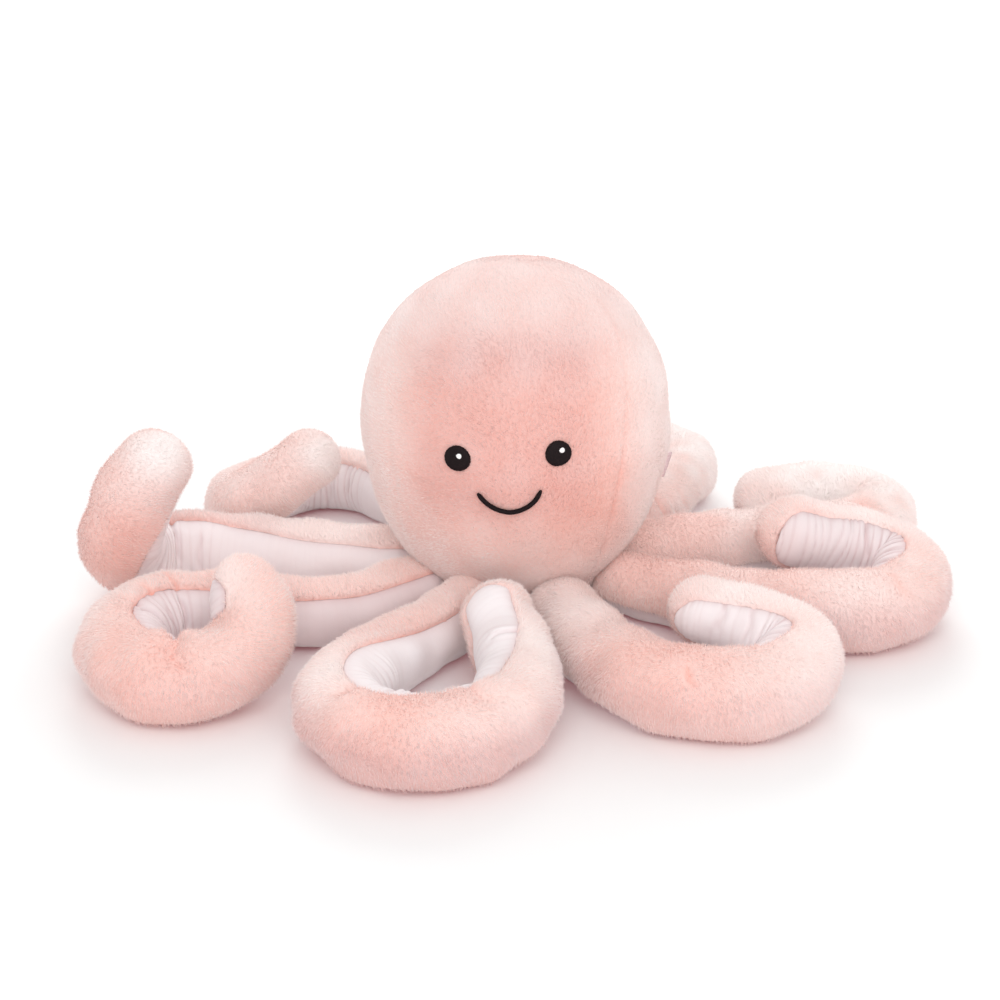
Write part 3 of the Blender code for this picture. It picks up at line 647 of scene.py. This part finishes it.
# Its section is a loop of tape: out along one side, round the fold and back, as wide as the
# tape is tall. It bends toward the front by the square of the distance from the seam
def makeLabel():
    t = np.linspace(0, 1, 60)
    path = np.stack([label["out"] * (1 - np.abs(2 * t - 1)),
                     label["fold"] * np.sin(2 * np.pi * t)], axis=-1)
    way = unit(np.gradient(path, axis=0))
    out = np.stack([way[:, 1], -way[:, 0]], axis=-1)
    rowsUp = np.linspace(label["low"], label["high"], 9)
    seamRadius = np.interp(rowsUp, headProfile[:, 1], headProfile[:, 0]) - label["sewnIn"]
    bearing = math.radians(label["bearing"])
    radial = np.array([math.cos(bearing), math.sin(bearing), 0])
    tangent = np.array([-math.sin(bearing), math.cos(bearing), 0])
    outer, inner = path + out * label["thickness"] / 2, path - out * label["thickness"] / 2
    loop = np.concatenate([outer, inner[::-1]])
    points = (seamRadius[:, None, None] * radial + loop[None, :, :1] * radial
              + (loop[None, :, 1:] - label["bend"] * (loop[None, :, :1] / label["out"]) ** 2)
              * tangent)
    points[..., 2] = rowsUp[:, None]
    rows, columns = points.shape[:2]
    grid = np.arange(rows * columns).reshape(rows, columns)
    after = np.roll(grid, -1, axis=1)
    sides = np.stack([grid[:-1], grid[1:], after[1:], after[:-1]], axis=-1).reshape(-1, 4)
    # the tape's lower and upper edge, each a row of faces from its outer to its inner side
    outside = np.arange(columns // 2 - 1)
    inside = columns - 1 - outside
    bottom = np.stack([grid[0][outside], grid[0][outside + 1], grid[0][inside - 1],
                       grid[0][inside]], axis=-1)
    top = np.stack([grid[-1][outside], grid[-1][inside], grid[-1][inside - 1],
                    grid[-1][outside + 1]], axis=-1)
    piece = makePiece("label_tape", points, [sides, bottom, top], tapeFinish)
    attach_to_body(piece, "body")
    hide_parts("label")


makeLabel()


# Arms: a plush sleeve on a curved line, with a smooth strip let in along it

root = {"out": 75, "height": 21, "radius": 19.5, "sunk": 0.5}
# What most arms have. The tongue is the strip's half width near the tip, and it goes as far
# round the end as tip says, both in degrees. Gather is how far it stands in pleats, and the
# strip's shade is how much painted shade greys the whole strip. Painted shade on the pile is
# how much it darkens and below which height in mm, and the root's highlight is how much
# painted highlight pales the pile beside the head, as the painted highlight does for the rest
# of the arm. All but angles and heights go from 0 to 1
usual = {"tongue": 60, "tip": 46, "gather": 0.25, "stripShade": 0, "paintedShade": (0, 48), "rootHighlight": 0.3}
# Azimuth and facing are the root's. Each route row is x, y, height of the underside, radius,
# and the bearing of the strip's middle round the sleeve: 0 to the inner side of the curl,
# -90 down
arms = {
    "front_left_arm": usual | {
        "azimuth": -114, "facing": -31, "paintedHighlight": 0.12, "tongue": 43, "tip": 22,
        "gather": 0.05, "paintedShade": (0.6, 48), "route": (
            (-47, -96, 0, 20, -31), (-71, -130, 0, 21, -24), (-92, -167, 0, 23.5, 2),
            (-94, -204, 0, 24.5, 10), (-73, -230, 0, 24.5, 6), (-44, -235, 0, 25, -4),
            (-16, -222, 1, 24.5, -4), (-1, -193, 3, 23.5, 8), (-1, -153, 7, 22.5, 40),
            (-11, -118, 19, 20.5, 68))},
    "front_right_arm": usual | {
        "azimuth": -69, "facing": -85, "paintedHighlight": 0.2, "rootHighlight": 0.6, "tongue": 44,
        "gather": 0.16, "stripShade": 0.15, "paintedShade": (0.34, 48), "route": (
            (36, -100, 0, 22, -85), (50, -137, 0, 23, -70), (73, -170, 0, 24.5, -45),
            (102, -183, 0, 25, -20), (134, -178, 0, 24.5, -4), (154, -160, 2.5, 24.5, 8),
            (156, -139, 7.5, 23.5, 16), (137, -124, 13.5, 22.5, 21), (109, -113, 19, 20.5, 24))},
    "right_front_arm": usual | {
        "azimuth": -26, "facing": -80, "paintedHighlight": 0.22, "tongue": 58, "gather": 0.36,
        "stripShade": 0.38, "paintedShade": (0.48, 48), "route": (
            (106, -51, 0, 21, -80), (148, -69, 0, 22.5, -60), (187, -79, 0, 24.5, -38),
            (219, -75, 0, 24.5, -20), (240, -48, 1, 24.5, 3), (236, -17, 6, 23.5, 14),
            (207, -10, 14, 23, 20), (171, -15, 26, 21.5, 26))},
    "right_back_arm": usual | {
        "azimuth": 12, "facing": -80, "paintedHighlight": 0.65, "route": (
            (118, 28, 0, 20.5, -80), (165, 36, 0, 21, -82), (208, 40, 0, 22, -85),
            (238, 57, 0, 22.5, -85), (245, 82, 1, 22.5, -85), (227, 98, 3, 22, -85),
            (197, 100, 5, 21.5, -85), (170, 93, 6, 20.5, -80))},
    "back_right_arm": usual | {
        "azimuth": 50, "facing": -60, "paintedHighlight": 0.65, "rootHighlight": 0.35, "route": (
            (84, 88, 0, 20, -60), (112, 136, 0, 21, -55), (123, 168, 0, 22, -40),
            (108, 190, 0, 22, -25), (76, 188, 0, 21.5, -15), (46, 168, 1, 21, -5),
            (28, 138, 4, 20, 0))},
    "back_left_arm": usual | {
        "azimuth": 120, "facing": -35, "paintedHighlight": 0.45, "route": (
            (-72, 104, 0, 20.5, -30), (-106, 138, 0, 21, -22), (-142, 143, 0, 21.5, -19),
            (-172, 121, 0, 22.5, -10), (-186, 95, 1, 23, -5), (-178, 74, 8, 22.5, -5),
            (-158, 67, 25, 21.5, -5), (-137, 72, 41, 20.5, -5))},
    "left_back_arm": usual | {
        "azimuth": 177, "facing": -31, "paintedHighlight": 0.15, "rootHighlight": 0.2, "tongue": 46,
        "stripShade": 0.05, "paintedShade": (0.15, 130), "route": (
            (-122, 12, 0, 20.5, -28), (-165, 18, 0, 21.5, -15), (-202, 19, 0, 22.5, 0),
            (-230, 9, 1, 23.5, 10), (-243, -9, 7, 24, 25), (-243, -25, 23, 24, 40),
            (-237, -29, 41, 24.5, 52), (-229, -25, 57, 24.5, 60), (-221, -19, 70, 22.5, 60))},
    "left_front_arm": usual | {
        "azimuth": -147, "facing": -31, "paintedHighlight": 0.12, "rootHighlight": 0.2, "stripShade": 0.4,
        "paintedShade": (0.28, 48), "route": (
            (-100, -67, 0, 20.5, -31), (-138, -74, 0, 21.5, -31), (-178, -73, 0, 22.5, -20),
            (-210, -83, 0, 23.5, -8), (-226, -112, 0, 24.5, -4), (-218, -147, 0, 24.5, -8),
            (-195, -166, 0, 24.5, -12), (-170, -162, 2, 24, -12), (-153, -147, 8.5, 23.5, -8),
            (-147, -133, 20.5, 22.5, 6), (-153, -121, 35.5, 20.5, 26))},
}
# Creases: mm along the arm, from and to which angle round it, depth, width, and slant in
# mm per degree
creases = {
    "left_front_arm": [(190, 58, 112, 2.4, 2.6, 0.0), (151, 58, 110, 2.0, 2.4, 0.0),
                       (171, 62, 96, 1.2, 2.0, 0.0), (194, 20, 66, 2.6, 3.0, -0.06),
                       (149, -5, 52, 2.4, 2.8, 0.05), (170, -20, 50, 1.5, 2.4, 0.0),
                       (214, 10, 70, 1.5, 2.4, -0.05), (266, 30, 160, 4.6, 6.0, 0.05),
                       (120, 62, 100, 0.9, 2.6, 0.15)],
    "front_left_arm": [(171, 82, 128, 2.0, 2.4, -0.12), (318, 50, 112, 1.6, 2.0, 0.1),
                       (242, 60, 130, 2.2, 5.0, 0.1), (60, 95, 150, 0.8, 2.4, 0.1)],
    "left_back_arm": [(148, 56, 104, 2.4, 2.6, 0.0), (148, 0, 66, 2.6, 2.8, 0.05),
                      (176, -40, 60, 1.8, 2.6, 0.0), (200, -30, 62, 1.6, 2.6, 0.0),
                      (128, -20, 55, 1.2, 2.4, 0.0)],
    "front_right_arm": [(268, 20, 84, 1.2, 1.5, 0.02), (250, 15, 82, 1.0, 1.4, 0.02),
                        (231, 15, 88, 1.5, 1.7, 0.04), (205, 20, 96, 1.8, 1.9, 0.05),
                        (137, 118, 148, 1.3, 1.8, 0.1)],
    "right_front_arm": [(252, 20, 96, 2.2, 2.0, 0.05), (222, 15, 84, 1.5, 1.7, 0.03),
                        (203, 15, 84, 1.6, 1.8, 0.03), (186, 20, 88, 1.5, 2.2, 0.0),
                        (160, 90, 150, 0.6, 3.0, 0.1)],
    "right_back_arm": [(252, 40, 120, 2.6, 2.8, 0.15), (196, 40, 120, 2.6, 2.8, -0.15),
                       (150, 60, 120, 1.5, 2.8, 0.1)],
    "back_right_arm": [(61, -230, -150, 2.2, 2.6, 0.15), (74, -225, -150, 1.8, 2.6, 0.12),
                       (48, -235, -165, 1.8, 2.6, 0.15), (150, 60, 120, 1.6, 3.0, 0.1)],
    "back_left_arm": [(150, -30, 60, 1.8, 2.8, 0.05), (120, -30, 60, 1.4, 2.6, 0.0),
                      (100, -20, 60, 1.4, 2.6, 0.0)],
}
# Soft spots of warm pile, painted shade and partly the warm backing where the pile lies
# against its way, and of painted highlight where the amount is below 0: mm along, angle, reach
# in mm, and how much warmer, or paler where it is below 0
paintedSpots = {
    "left_front_arm": [(240, 120, 26, 0.10), (257, 180, 26, 0.13), (190, 150, 30, -0.2),
                       (331, 130, 20, 0.06), (350, 80, 22, -0.5), (53, 75, 30, -0.1)],
    "front_left_arm": [(178, 118, 26, 0.1), (200, 140, 22, 0.1), (155, 100, 22, -0.5),
                       (250, 150, 30, -0.2), (310, 120, 40, -0.6), (130, 100, 26, -0.3),
                       (40, 120, 24, 0.08)],
    "left_back_arm": [(205, -75, 30, 0.23), (225, -60, 20, 0.13), (276, -82, 30, -1.0),
                      (50, 70, 60, -0.5)],
    "front_right_arm": [(126, 144, 30, 0.21), (84, -219, 18, 0.15), (30, 44, 36, 0.12),
                        (204, 142, 34, -0.4), (60, 110, 26, -0.35), (266, 100, 30, -0.5)],
    "right_front_arm": [(78, -227, 26, 0.15), (107, -204, 24, 0.13), (34, -230, 34, 0.25),
                        (136, 126, 24, -0.35), (254, 110, 36, -0.45), (70, 110, 30, -0.3)],
    "right_back_arm": [(33, -206, 40, 0.12), (68, -191, 30, 0.12), (154, -237, 24, 0.15),
                       (230, 80, 40, -0.4)],
    "back_right_arm": [(62, -200, 28, 0.17), (150, 118, 40, -0.3)],
    "back_left_arm": [(262, -140, 30, 0.12), (285, -133, 20, 0.05), (298, -129, 20, -0.9)],
}
# Of a crease: its rolls' distance and width, in valley widths, and their height as a share
# of its depth; how far it wanders, and how often; and how wide its line and its parting are
creaseShape = {"rollAway": 2.3, "rollWidth": 1.7, "rollHeight": 0.4, "wander": 1.2,
               "wanderTurn": 9, "line": 1.5, "fullDepth": 2.6, "parting": 16}
sleeve = {"step": 1.7, "sideColumns": 24, "underColumns": 8, "lump": 0.7, "lumpSize": 34,
          "pileBase": 0.3, "seamDip": 2.3, "seamWidth": 1.9, "sunk": 3.4, "pucker": 0.8,
          "puckerSize": 8, "puckerReach": 9, "inHead": 52, "underShare": 0.35}
# Amounts of warmth on the sleeve's pile: at the seams partly its backing and partly painted shade,
# elsewhere painted shade
sleeveTones = {"seam": 0.2, "seamOfWide": 0.45, "seamReach": 1.3, "creaseShade": 0.4, "bend": 0.2,
               "head": 0.12, "floor": 0.25, "cloud": 28, "cloudShare": 0.15}
strip = {"halfWidth": 75, "tongueStart": 0.75,
         "step": 1.1, "columns": 34, "backColumns": 6, "tuck": 0.7, "edgeDrop": 1.5,
         "puff": 2.2, "pleat": 5.4, "pleatWidths": (0.6, 1.7), "pleatDepths": (0.25, 1.1),
         "pleats": 200, "before": 60, "pleatDepth": 2.8, "pleatMean": 0.68, "back": 5.2,
         "drift": 1.8, "driftSize": 24, "skew": 1.2, "skewSize": 40, "depthSize": 20,
         "flat": 0.05, "squeezed": 0.8, "valleyShade": 1.1, "lineShade": 0.3, "edgeShade": 0.55}
armPile = {"length": 2.9, "width": 0.54, "sink": 0.7, "lean": 58, "density": 1.15,
           "cloud": 30, "tuft": 2.6, "turn": 9, "tuftTurn": 5, "stray": 10,
           "leanChange": 3, "tuftLean": 3, "upright": 24}


# The round ends: mm along them, fewest rings, and how far short of the pole they stop, in
# radians
roundEnds = {"rootLength": 25, "rootRings": 6, "tipLength": 36, "tipRings": 8, "short": 0.06}


# The arm's middle line in even steps, its bends evened out by mixing each row, 60 times,
# with its neighbours: half of itself and a quarter of either
def armLine(arm):
    bearing = math.radians(arm["azimuth"])
    rows = [(root["out"] * math.cos(bearing), root["out"] * math.sin(bearing),
             root["height"], root["radius"], arm["facing"])]
    rows += [(x, y, rise + r - root["sunk"], r, turn) for x, y, rise, r, turn in arm["route"]]
    rows = curveThrough(rows)
    length = lengthAlong(rows)
    rows = rowsAt(rows, length, np.linspace(0, length[-1], len(rows)))
    for _ in range(60):
        rows[1:-1] = (rows[:-2] + 2 * rows[1:-1] + rows[2:]) / 4
    return rows


# Stations along the arm, a step apart, with a round end before and after. At a station of a
# round end the ring leans over by an angle and keeps the end's middle
def armStations(arm, step):
    rows = armLine(arm)
    length = lengthAlong(rows)
    forward = unit(np.gradient(rows[:, :3], length, axis=0))
    ups, up = [], np.array([0.0, 0.0, 1.0])
    for way in forward:  # carried along without twisting
        up = unit(up - way * (up @ way))
        ups.append(up)
    bend = np.gradient(forward, length, axis=0)
    kernel = np.hanning(13) / np.hanning(13).sum()
    bend = np.stack([np.convolve(np.pad(b, 6, "edge"), kernel, "valid") for b in bend.T], -1)
    table = np.column_stack([rows, forward, ups, bend])
    at = np.linspace(0, length[-1], max(int(length[-1] / step), 8))
    table = rowsAt(table, length, at)
    pole = np.radians(90) - roundEnds["short"]
    before = np.linspace(-pole, 0, max(int(roundEnds["rootLength"] / step),
                                       roundEnds["rootRings"]))[:-1]
    after = np.linspace(0, pole, max(int(roundEnds["tipLength"] / step),
                                     roundEnds["tipRings"]))[1:]
    pick = np.r_[np.zeros(len(before), int), np.arange(len(at)),
                 np.full(len(after), len(at) - 1)]
    lean = np.r_[before, np.zeros(len(at)), after]
    table, at = table[pick], at[pick]
    share = at / length[-1]
    half = strip["halfWidth"] + (arm["tongue"] - strip["halfWidth"]) * np.clip(
        (share - strip["tongueStart"]) / (1 - strip["tongueStart"]), 0, 1)
    rounded = np.sqrt(np.clip(1 - (lean / math.radians(arm["tip"])) ** 2, 0, 1))
    half = half * np.where(lean > 0, rounded, 1)
    forward, up = unit(table[:, 5:8]), unit(table[:, 8:11])
    inward = np.cross(up, forward)
    return {"middle": table[:, :3], "radius": table[:, 3], "facing": np.radians(table[:, 4]),
            "forward": forward, "up": up, "inward": inward, "lean": lean,
            "half": np.radians(half), "along": at + lean * table[:, 3],
            "length": length[-1], "bendIn": (table[:, 11:14] * inward).sum(-1),
            "bendUp": (table[:, 11:14] * up).sum(-1)}


# A point of the sleeve: the station's middle plus the radius and the height times
# cos lean (cos angle inward + sin angle up) + sin lean forward
def onSleeve(at, angle, height):
    ring = (np.cos(angle)[..., None] * at["inward"][:, None]
            + np.sin(angle)[..., None] * at["up"][:, None])
    lean = at["lean"][:, None, None]
    way = np.cos(lean) * ring + np.sin(lean) * at["forward"][:, None]
    return at["middle"][:, None] + (at["radius"][:, None] + height)[..., None] * way, way


# How much the fabric is squeezed along the arm there: radius times the bend, as a share
def squeeze(at, angle):
    return at["radius"][:, None] * (at["bendIn"][:, None] * np.cos(angle)
                                    + at["bendUp"][:, None] * np.sin(angle))


# A crease is a valley, the depth times exp(-(d / width) squared) with d the distance along
# the arm from its line, between two low rolls of the same shape. The second result is 1 in
# the valley and 0 away from it, and the third says which way the pile parts beside it
def creasesAt(name, along, angle):
    rise, line, parted = np.zeros((3, *angle.shape))
    degrees = np.degrees(angle)
    for start, low, high, depth, width, slant in creases[name]:
        middle = (low + high) / 2
        away = (degrees - middle + 180) % 360 - 180
        within = ease(1, 0.45, np.abs(away) / (high - low) * 2)
        d = along - start - slant * away - creaseShape["wander"] * np.sin(
            away / creaseShape["wanderTurn"] + start)
        valley = np.exp(-(d / width) ** 2)
        rolls = np.exp(-((np.abs(d) - creaseShape["rollAway"] * width)
                         / (creaseShape["rollWidth"] * width)) ** 2)
        rise += depth * within * (creaseShape["rollHeight"] * rolls - valley)
        line = np.maximum(line, within * np.exp(-(d / creaseShape["line"]) ** 2)
                          * min(1, creaseShape["fullDepth"] / width))
        parted += np.sign(d) * within * ease(0, 2, np.abs(d)) * np.exp(
            -(d / creaseShape["parting"]) ** 2)
    return rise, line, parted


# How much painted shade warms the pile there, and painted highlight pales it: the sum of soft
# spots
def paintedSpotsAt(name, along, angle, radius):
    total = np.zeros_like(angle)
    degrees = np.degrees(angle)
    for start, turn, reach, amount in paintedSpots[name]:
        away = np.radians((degrees - turn + 180) % 360 - 180) * radius
        total += amount * np.exp(-((along - start) ** 2 + away ** 2) / reach ** 2)
    return total


# The floor holds the fabric up: half of height plus the root of height squared plus give
# squared, which is the height itself well above the floor and never less than 0
def onFloor(points, give=1.6):
    z = points[..., 2]
    points[..., 2] = (z + np.sqrt(z * z + give ** 2)) / 2
    return points


# Warm along the seams, more so before the tongue, partly the backing and partly painted
# shade, and painted warm shade in creases, where a bend presses the pile, by the head, by the
# floor and in the painted spots
def sleeveWarmthAndShade(points, half, fromSeam, pressed, line, spots):
    tones = sleeveTones
    fromHead = np.linalg.norm(points[..., :2], axis=-1)
    seam = (tones["seam"] + tones["seamOfWide"] * ease(0.8, 1.3, half)) * np.exp(
        -(np.maximum(fromSeam, 0) / tones["seamReach"]) ** 2)
    return np.clip(seam + tones["creaseShade"] * line + tones["bend"] * ease(0.3, 1.0, pressed)
                   + tones["head"] * ease(98, 84, fromHead)
                   + tones["floor"] * ease(7, 1, points[..., 2]) + np.maximum(spots, 0), 0, 1)


# Painted highlight: each arm's pile is painted paler by its own amount, in soft clouds, and
# by another amount beside the head
def armHighlight(points, arm, spots):
    fromHead = np.linalg.norm(points[..., :2], axis=-1)
    clouds = 1 + sleeveTones["cloudShare"] * waves(points, sleeveTones["cloud"], 5)
    own = (arm["paintedHighlight"] * clouds * ease(100, 150, fromHead)
           + arm["rootHighlight"] * ease(150, 100, fromHead))
    return np.clip(own * (1 - 1.2 * np.maximum(spots, 0)) - np.minimum(spots, 0), 0, 1)


# How much painted shade darkens the pile: below a height on the outer part of some arms
def armShade(points, arm):
    amount, top = arm["paintedShade"]
    fromHead = np.linalg.norm(points[..., :2], axis=-1)
    return amount * ease(130, 165, fromHead) * ease(top, top / 2, points[..., 2])


def makeSleeve(name, arm, seed):
    at = armStations(arm, sleeve["step"])
    # columns keep to the seam: from the strip's edge round the back to its other edge, and
    # some under the strip
    t = np.linspace(0, 1, sleeve["sideColumns"] + 1)
    under = np.linspace(-1, 1, sleeve["underColumns"] + 1)[1:-1]
    spread = 0.5 * t + 0.5 * t ** 2
    half = at["half"][:, None]
    right = half + (np.pi - half) * spread
    offset = np.concatenate([-right[:, ::-1], half * under, right], axis=1)
    angle = at["facing"][:, None] + offset
    fromSeam = (np.abs(offset) - half) * at["radius"][:, None]
    fromSeam = np.where(half < 0.02, np.hypot(fromSeam, 25 * (at["lean"][:, None] - math.radians(
        arm["tip"]))), fromSeam)
    pressed = squeeze(at, angle)
    plain, way = onSleeve(at, angle, np.zeros_like(angle))
    rise = sleeve["pileBase"] + sleeve["lump"] * waves(plain, sleeve["lumpSize"], seed)
    rise -= sleeve["seamDip"] * np.exp(-(np.maximum(fromSeam, 0) / sleeve["seamWidth"]) ** 2)
    rise -= sleeve["sunk"] * ease(0, -2.5, fromSeam)
    puckers = waves(np.stack([at["along"][:, None] + 0 * angle, 3 * angle, 0 * angle], -1),
                    sleeve["puckerSize"], seed + 1)
    rise += sleeve["pucker"] * puckers * np.exp(
        -np.abs(fromSeam) / sleeve["puckerReach"]) * np.clip(0.25 + pressed, 0, 1)
    folded, line, parted = creasesAt(name, at["along"][:, None], angle)
    points = onFloor(plain + way * (rise + folded)[..., None])
    first, last = points[0].mean(axis=0), points[-1].mean(axis=0)
    spots = paintedSpotsAt(name, at["along"][:, None], angle, at["radius"][:, None])
    warmth = sleeveWarmthAndShade(points, half, fromSeam, pressed, line, spots)
    paintedHighlight = armHighlight(points, arm, spots)
    skin = makeSkin(name + "_sleeve", points[:, :-1], first, last, massFinish,
                    {"pileWarmthAndShade": warmth[:, :-1], "pileHighlight": paintedHighlight[:, :-1],
                     "pileShade": armShade(points, arm)[:, :-1]})

    rng = np.random.default_rng(seed + 2)
    normal = gridNormals(points)
    # the side that lies on the floor is seldom seen and has fewer tufts
    least = sleeve["underShare"]
    allowed = (fromSeam > 0.2) * (least + (1 - least) * ease(-0.6, -0.1, normal[..., 2]))
    # no pile is needed where the root is hidden inside the head
    allowed[np.linalg.norm(points[..., :2], axis=-1) < sleeve["inHead"]] = 0
    spot = scatter(points, allowed, armPile["density"], rng)
    foot = between(points, *spot)
    out = unit(between(normal, *spot))
    around = np.cross(at["forward"][:, None], way)
    along = np.cross(way, around)
    flow = unit(between(around, *spot)
                + between((0.35 + 1.3 * parted)[..., None] * along, *spot))
    warmth = between(warmth[..., None], *spot)[:, 0]
    paintedHighlight = between(paintedHighlight[..., None], *spot)[:, 0]
    pile = growPile(name + "_pile", foot, out, flow, armPile, warmth, paintedHighlight,
                    armShade(foot, arm), seed + 3)
    return skin, pile


# The strip's cloth is held at the seams and gathered along them, so that it stands in
# pleats: the height is the puff between the seams plus pleatDepth times a row of soft
# bulges, the absolute sine to the 0.8 less its mean, which leaves sharp valleys between
# round backs
def makeStrip(name, arm, seed, lumpSeed):
    at = armStations(arm, strip["step"])
    keep = (at["lean"] < math.radians(arm["tip"]) - 0.03) & (at["lean"] > -1.1)
    at = {key: value[keep] if isinstance(value, np.ndarray) else value
          for key, value in at.items()}
    v = np.linspace(-1, 1, strip["columns"] + 1)
    v = np.sign(v) * (1 - (1 - np.abs(v)) ** 1.25)
    # the edges are tucked under the sleeve's pile
    offset = (at["half"] + strip["tuck"] / at["radius"] * (at["half"] > 0.05))[:, None] * v
    angle = at["facing"][:, None] + offset
    pressed = np.clip(squeeze(at, angle), -0.3, 1.2)
    plain, way = onSleeve(at, angle, np.zeros_like(angle))
    rng = np.random.default_rng(seed)
    along = at["along"]
    # pleats are unlike, and the first lies before the arm
    count = strip["pleats"]
    edges = np.cumsum(rng.uniform(*strip["pleatWidths"], count) * strip["pleat"])
    edges -= strip["before"]
    flat = np.stack([along[:, None] + 0 * angle, 9 * v[None] + 0 * angle, 0 * angle], -1)
    shifted = (along[:, None] + strip["drift"] * waves(flat, strip["driftSize"], seed + 1)
               + strip["skew"] * v[None] * waves(flat * [1, 0, 0], strip["skewSize"], seed + 2))
    phase = np.interp(shifted, edges, np.arange(count))
    bulge = np.abs(np.sin(np.pi * phase)) ** 0.8 - strip["pleatMean"]
    own = rng.uniform(*strip["pleatDepths"], count)[np.floor(phase).astype(int)]
    own = own * (1 + 0.4 * waves(flat, strip["depthSize"], seed + 3))
    nearSeam = 0.6 + 0.4 * np.abs(v[None]) ** 1.5
    # gathered a little everywhere, more in the tongue, and most inside a bend
    gathered = (strip["flat"] + arm["gather"] * ease(0.7, 0.85, along / at["length"])[:, None]
                + strip["squeezed"] * ease(0.05, 0.5, pressed))
    amount = strip["pleatDepth"] * gathered * nearSeam * own
    folded, line, _ = creasesAt(name, along[:, None], angle)
    rise = (-strip["edgeDrop"] + strip["puff"] * (1 - np.abs(v[None]) ** 3)
            + amount * bulge + folded
            + sleeve["lump"] * waves(plain, sleeve["lumpSize"], lumpSeed))
    top = onFloor(plain + way * rise[..., None])
    backAngle = at["facing"][:, None] + at["half"][:, None] * np.linspace(
        1, -1, strip["backColumns"] + 2)[1:-1] * 0.97
    low, _ = onSleeve(at, backAngle, np.full(backAngle.shape, -strip["back"]))
    low = onFloor(low)
    grid = np.concatenate([top, low], axis=1)
    # painted shade: greyer in the valleys, in creases and along the edges, and over the whole
    # strip of some arms
    stripShade = np.clip(strip["valleyShade"] * np.clip(-bulge, 0, 1) * gathered
                   + strip["lineShade"] * line + arm["stripShade"]
                   + strip["edgeShade"] * np.abs(v[None]) ** 9, 0, 1)
    stripShade = np.concatenate([stripShade, np.zeros(backAngle.shape)], axis=1)
    return makeSkin(name + "_strip", grid, grid[0].mean(axis=0), grid[-1].mean(axis=0),
                    minkyFinish, {"creaseShade": stripShade})


def makeArm(name, arm, seed):
    skin, pile = makeSleeve(name, arm, seed)
    cloth = makeStrip(name, arm, seed + 50, seed)
    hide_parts(name + "_plush")
    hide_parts(name + "_underside")
    for piece in (skin, pile, cloth):
        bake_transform(piece)


for number, (name, arm) in enumerate(arms.items()):
    makeArm(name, arm, 1000 + 100 * number)
    print(name, "ready")

for name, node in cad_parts.items():
    if name.endswith("_stuffing"):
        node.data.materials.clear()
        node.data.materials.append(fillFinish)


# Camera, floor and light

view = {"place": (-0.0096, -1.0876, 0.5071), "tilt": 67.796, "lens": 67.8, "sensor": 36}
light = {"world": 0.70, "lamps": {"front": ((0.1, -1.7, 1.5), 1.8, 15.4),
                                 "low": ((0.4, -2.0, 0.3), 1.4, 6.0),
                                 "top": ((0.1, 0.6, 2.0), 2.4, 2.0),
                                 "back": ((0.0, 1.8, 1.2), 1.6, 20.0)},
         "floor": (0.97, 0.92, 0.92, 1), "seen": (0.85, 0.97, 0.96, 1),
         "near": (0.12, 0.0, 0.01, 1), "far": (0.6, 0.6, 0.6, 1), "reach": (0.35, 1.1)}


def makeCamera():
    camera = bpy.data.objects.new("camera", bpy.data.cameras.new("camera"))
    bpy.context.scene.collection.objects.link(camera)
    camera.location = view["place"]
    camera.rotation_euler = (math.radians(view["tilt"]), 0, 0)
    camera.data.lens = view["lens"]
    camera.data.sensor_width = view["sensor"]
    bpy.context.scene.camera = camera


# The floor throws a faintly pink light on the toy. To the eye it also has a little light of
# its own, and more of it far away, so that it shows as white with a pale, rosy shadow
def makeFloor():
    mesh = bpy.data.meshes.new("floor")
    mesh.from_pydata([(-8, -8, 0), (8, -8, 0), (8, 8, 0), (-8, 8, 0)], [], [(0, 1, 2, 3)])
    floor = bpy.data.objects.new("floor", mesh)
    bpy.context.scene.collection.objects.link(floor)
    material, tree, shader = newMaterial("floor_card", {"Roughness": 0.9,
                                                        "Specular IOR Level": 0.1})
    ray = addNode(tree, "LightPath", {}, {})
    seen = addNode(tree, "Math", {"operation": "MAXIMUM"},
                   {0: (ray, "Is Camera Ray"), 1: (ray, "Is Glossy Ray")})
    card = mix(tree, (seen, "Value"), light["floor"], light["seen"])
    attach(tree, shader, Base_Color=card, Emission_Strength=(seen, "Value"))
    place = addNode(tree, "TexCoord", {}, {})
    distance = addNode(tree, "VectorMath", {"operation": "LENGTH"}, {0: (place, "Object")})
    share = addNode(tree, "MapRange", {"From Min": light["reach"][0],
                                       "From Max": light["reach"][1]},
                    {"Value": (distance, "Value")})
    own = mix(tree, (share, "Result"), light["near"], light["far"])
    attach(tree, shader, Emission_Color=own)
    floor.data.materials.append(material)


def makeLight():
    world = bpy.data.worlds.new("studio")
    bpy.context.scene.world = world
    world.use_nodes = True
    tree = world.node_tree
    ray = addNode(tree, "LightPath", {}, {})
    strength = addNode(tree, "MapRange", {"To Min": light["world"], "To Max": 1.0},
                       {"Value": (ray, "Is Camera Ray")})
    tree.links.new(strength.outputs["Result"], tree.nodes["Background"].inputs["Strength"])
    tree.nodes["Background"].inputs["Color"].default_value = (1, 1, 1, 1)
    # each softbox: place, size across and power in watts, facing the toy
    for name, (place, size, power) in light["lamps"].items():
        lamp = bpy.data.lights.new(name + "_softbox", "AREA")
        lamp.shape = "DISK"
        lamp.size = size
        lamp.energy = power
        softbox = bpy.data.objects.new(name + "_softbox", lamp)
        bpy.context.scene.collection.objects.link(softbox)
        softbox.location = place
        x, y, z = place
        softbox.rotation_euler = (math.atan2(math.hypot(x, y), z), 0,
                                  math.atan2(y, x) + math.pi / 2)


makeCamera()
makeFloor()
makeLight()
bpy.context.scene.view_settings.view_transform = "Standard"

print("scene ready")
